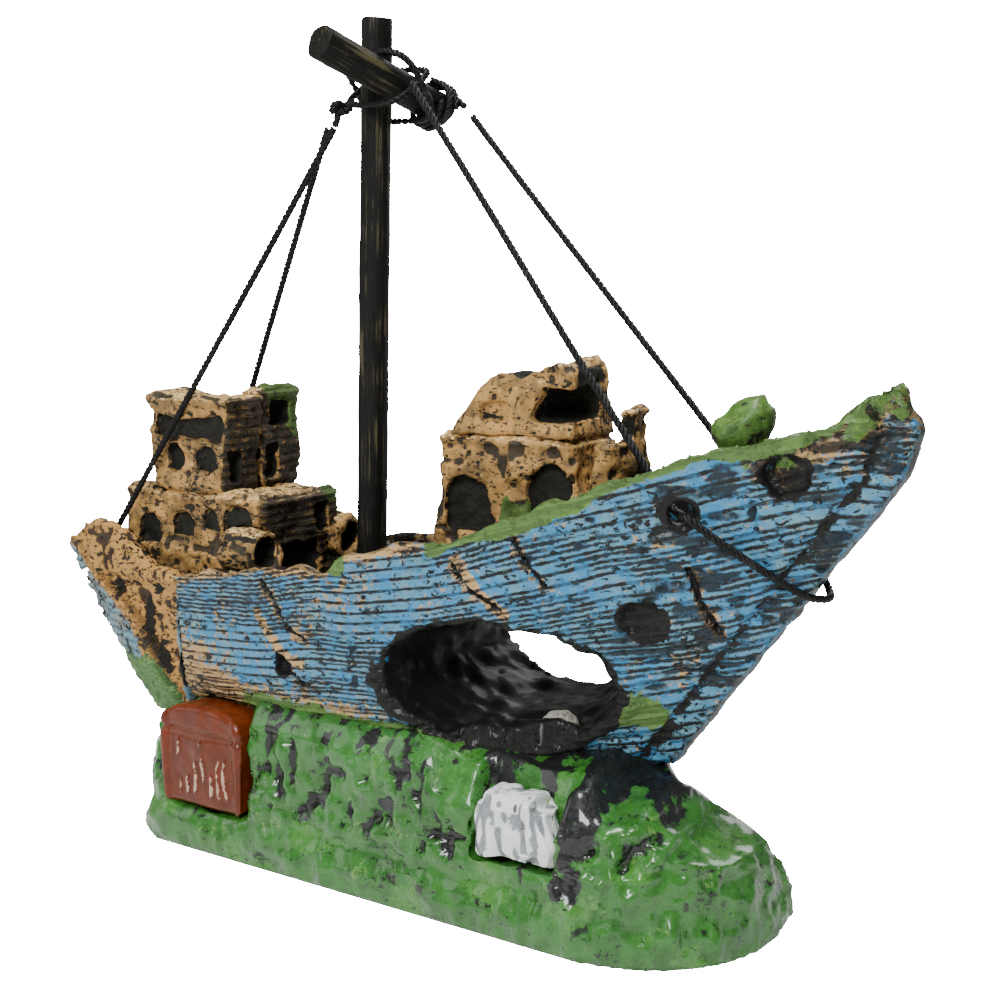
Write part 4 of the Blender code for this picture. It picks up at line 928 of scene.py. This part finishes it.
for node, (lean, extra) in lashings.items():
    name = "lashing" + node.split("_")[1].capitalize()
    addCord(name, lashingLine(lean, extra), node, "yard_body", closed=True)
addCord("yardWrapCord", wrapLine(), "yard_wrap", "yard_body")
addCord("stayKnot", knotLine(), "stay_knot", "wreck", closed=True)
# the free ends that join the knot to its stay and the wrap to the eye over it
knotTail = [(-0.0126, -0.0062, 0.0966), (-0.0122, -0.0062, 0.0975), (-0.0118, -0.0062, 0.0988)]
eyeTail = [(-0.0018, 0.0069, 0.0992), (-0.003, 0.0066, 0.1003), (-0.0042, 0.0058, 0.1018),
           (-0.0058, 0.005, 0.1028)]
addCord("stayKnotTail", smoothLine(knotTail), "stay_knot", "wreck")
addCord("wrapEyeTail", smoothLine(eyeTail), "yard_wrap", "yard_body")
print("spars and lashings done")


def stoneRelief(p, n):
    shift = 0.12 * lumps(p, 0.9, 201) + 0.1 * lumps(p, 0.5, 202) - 0.1 * ramp(0.2, 0.6, lumps(p, 0.7, 203))
    return p + n * (shift * ramp(20.4, 21.2, p[:, 2]))[:, None], {}


# sintered glass grit: open grains, chalk white, no gloss
def sinteredGrit():
    material, tree, shader = newMaterial("sinteredGrit")
    place = addNode(tree, "TexCoord").outputs["Object"]
    grains = addNode(tree, "TexVoronoi", {"Vector": place, "Scale": 1 / (0.4 * mm)})
    shade = addNode(tree, "MapRange", {"Value": grains.outputs["Distance"], 1: 0.2, 2: 0.9})
    paint = addNode(tree, "Mix", {0: shade.outputs[0], 6: linear("#CFCBC0"), 7: linear("#8D897D")},
                    data_type="RGBA")
    tree.links.new(paint.outputs[2], shader.inputs["Base Color"])
    bump = addNode(tree, "Bump", {"Height": grains.outputs["Distance"], "Strength": 0.8,
                                  "Distance": 0.1 * mm}, invert=True)
    tree.links.new(bump.outputs[0], shader.inputs["Normal"])
    shader.inputs["Roughness"].default_value = 0.9
    return material


sculpt("airStoneGrit", "air_stone", 0.18, stoneRelief, sinteredGrit(), body="stone")


# injection-moulded polypropylene: milky, faint flow marks
def mouldedPlastic():
    material, tree, shader = newMaterial("mouldedPolypropylene")
    place = addNode(tree, "TexCoord").outputs["Object"]
    flow = addNode(tree, "TexNoise", {"Vector": place, "Scale": 1 / (2.5 * mm), "Detail": 2.0})
    paint = addNode(tree, "Mix", {0: flow.outputs["Fac"], 6: linear("#C4CACA"), 7: linear("#DDE1E0")},
                    data_type="RGBA")
    tree.links.new(paint.outputs[2], shader.inputs["Base Color"])
    bump = addNode(tree, "Bump", {"Height": flow.outputs["Fac"], "Strength": 0.2, "Distance": 0.05 * mm})
    tree.links.new(bump.outputs[0], shader.inputs["Normal"])
    shader.inputs["Roughness"].default_value = 0.32
    return material


plastic = mouldedPlastic()
for node in ("air_tube", "air_inlet"):
    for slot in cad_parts[node].material_slots:
        slot.material = plastic
print("air line done")
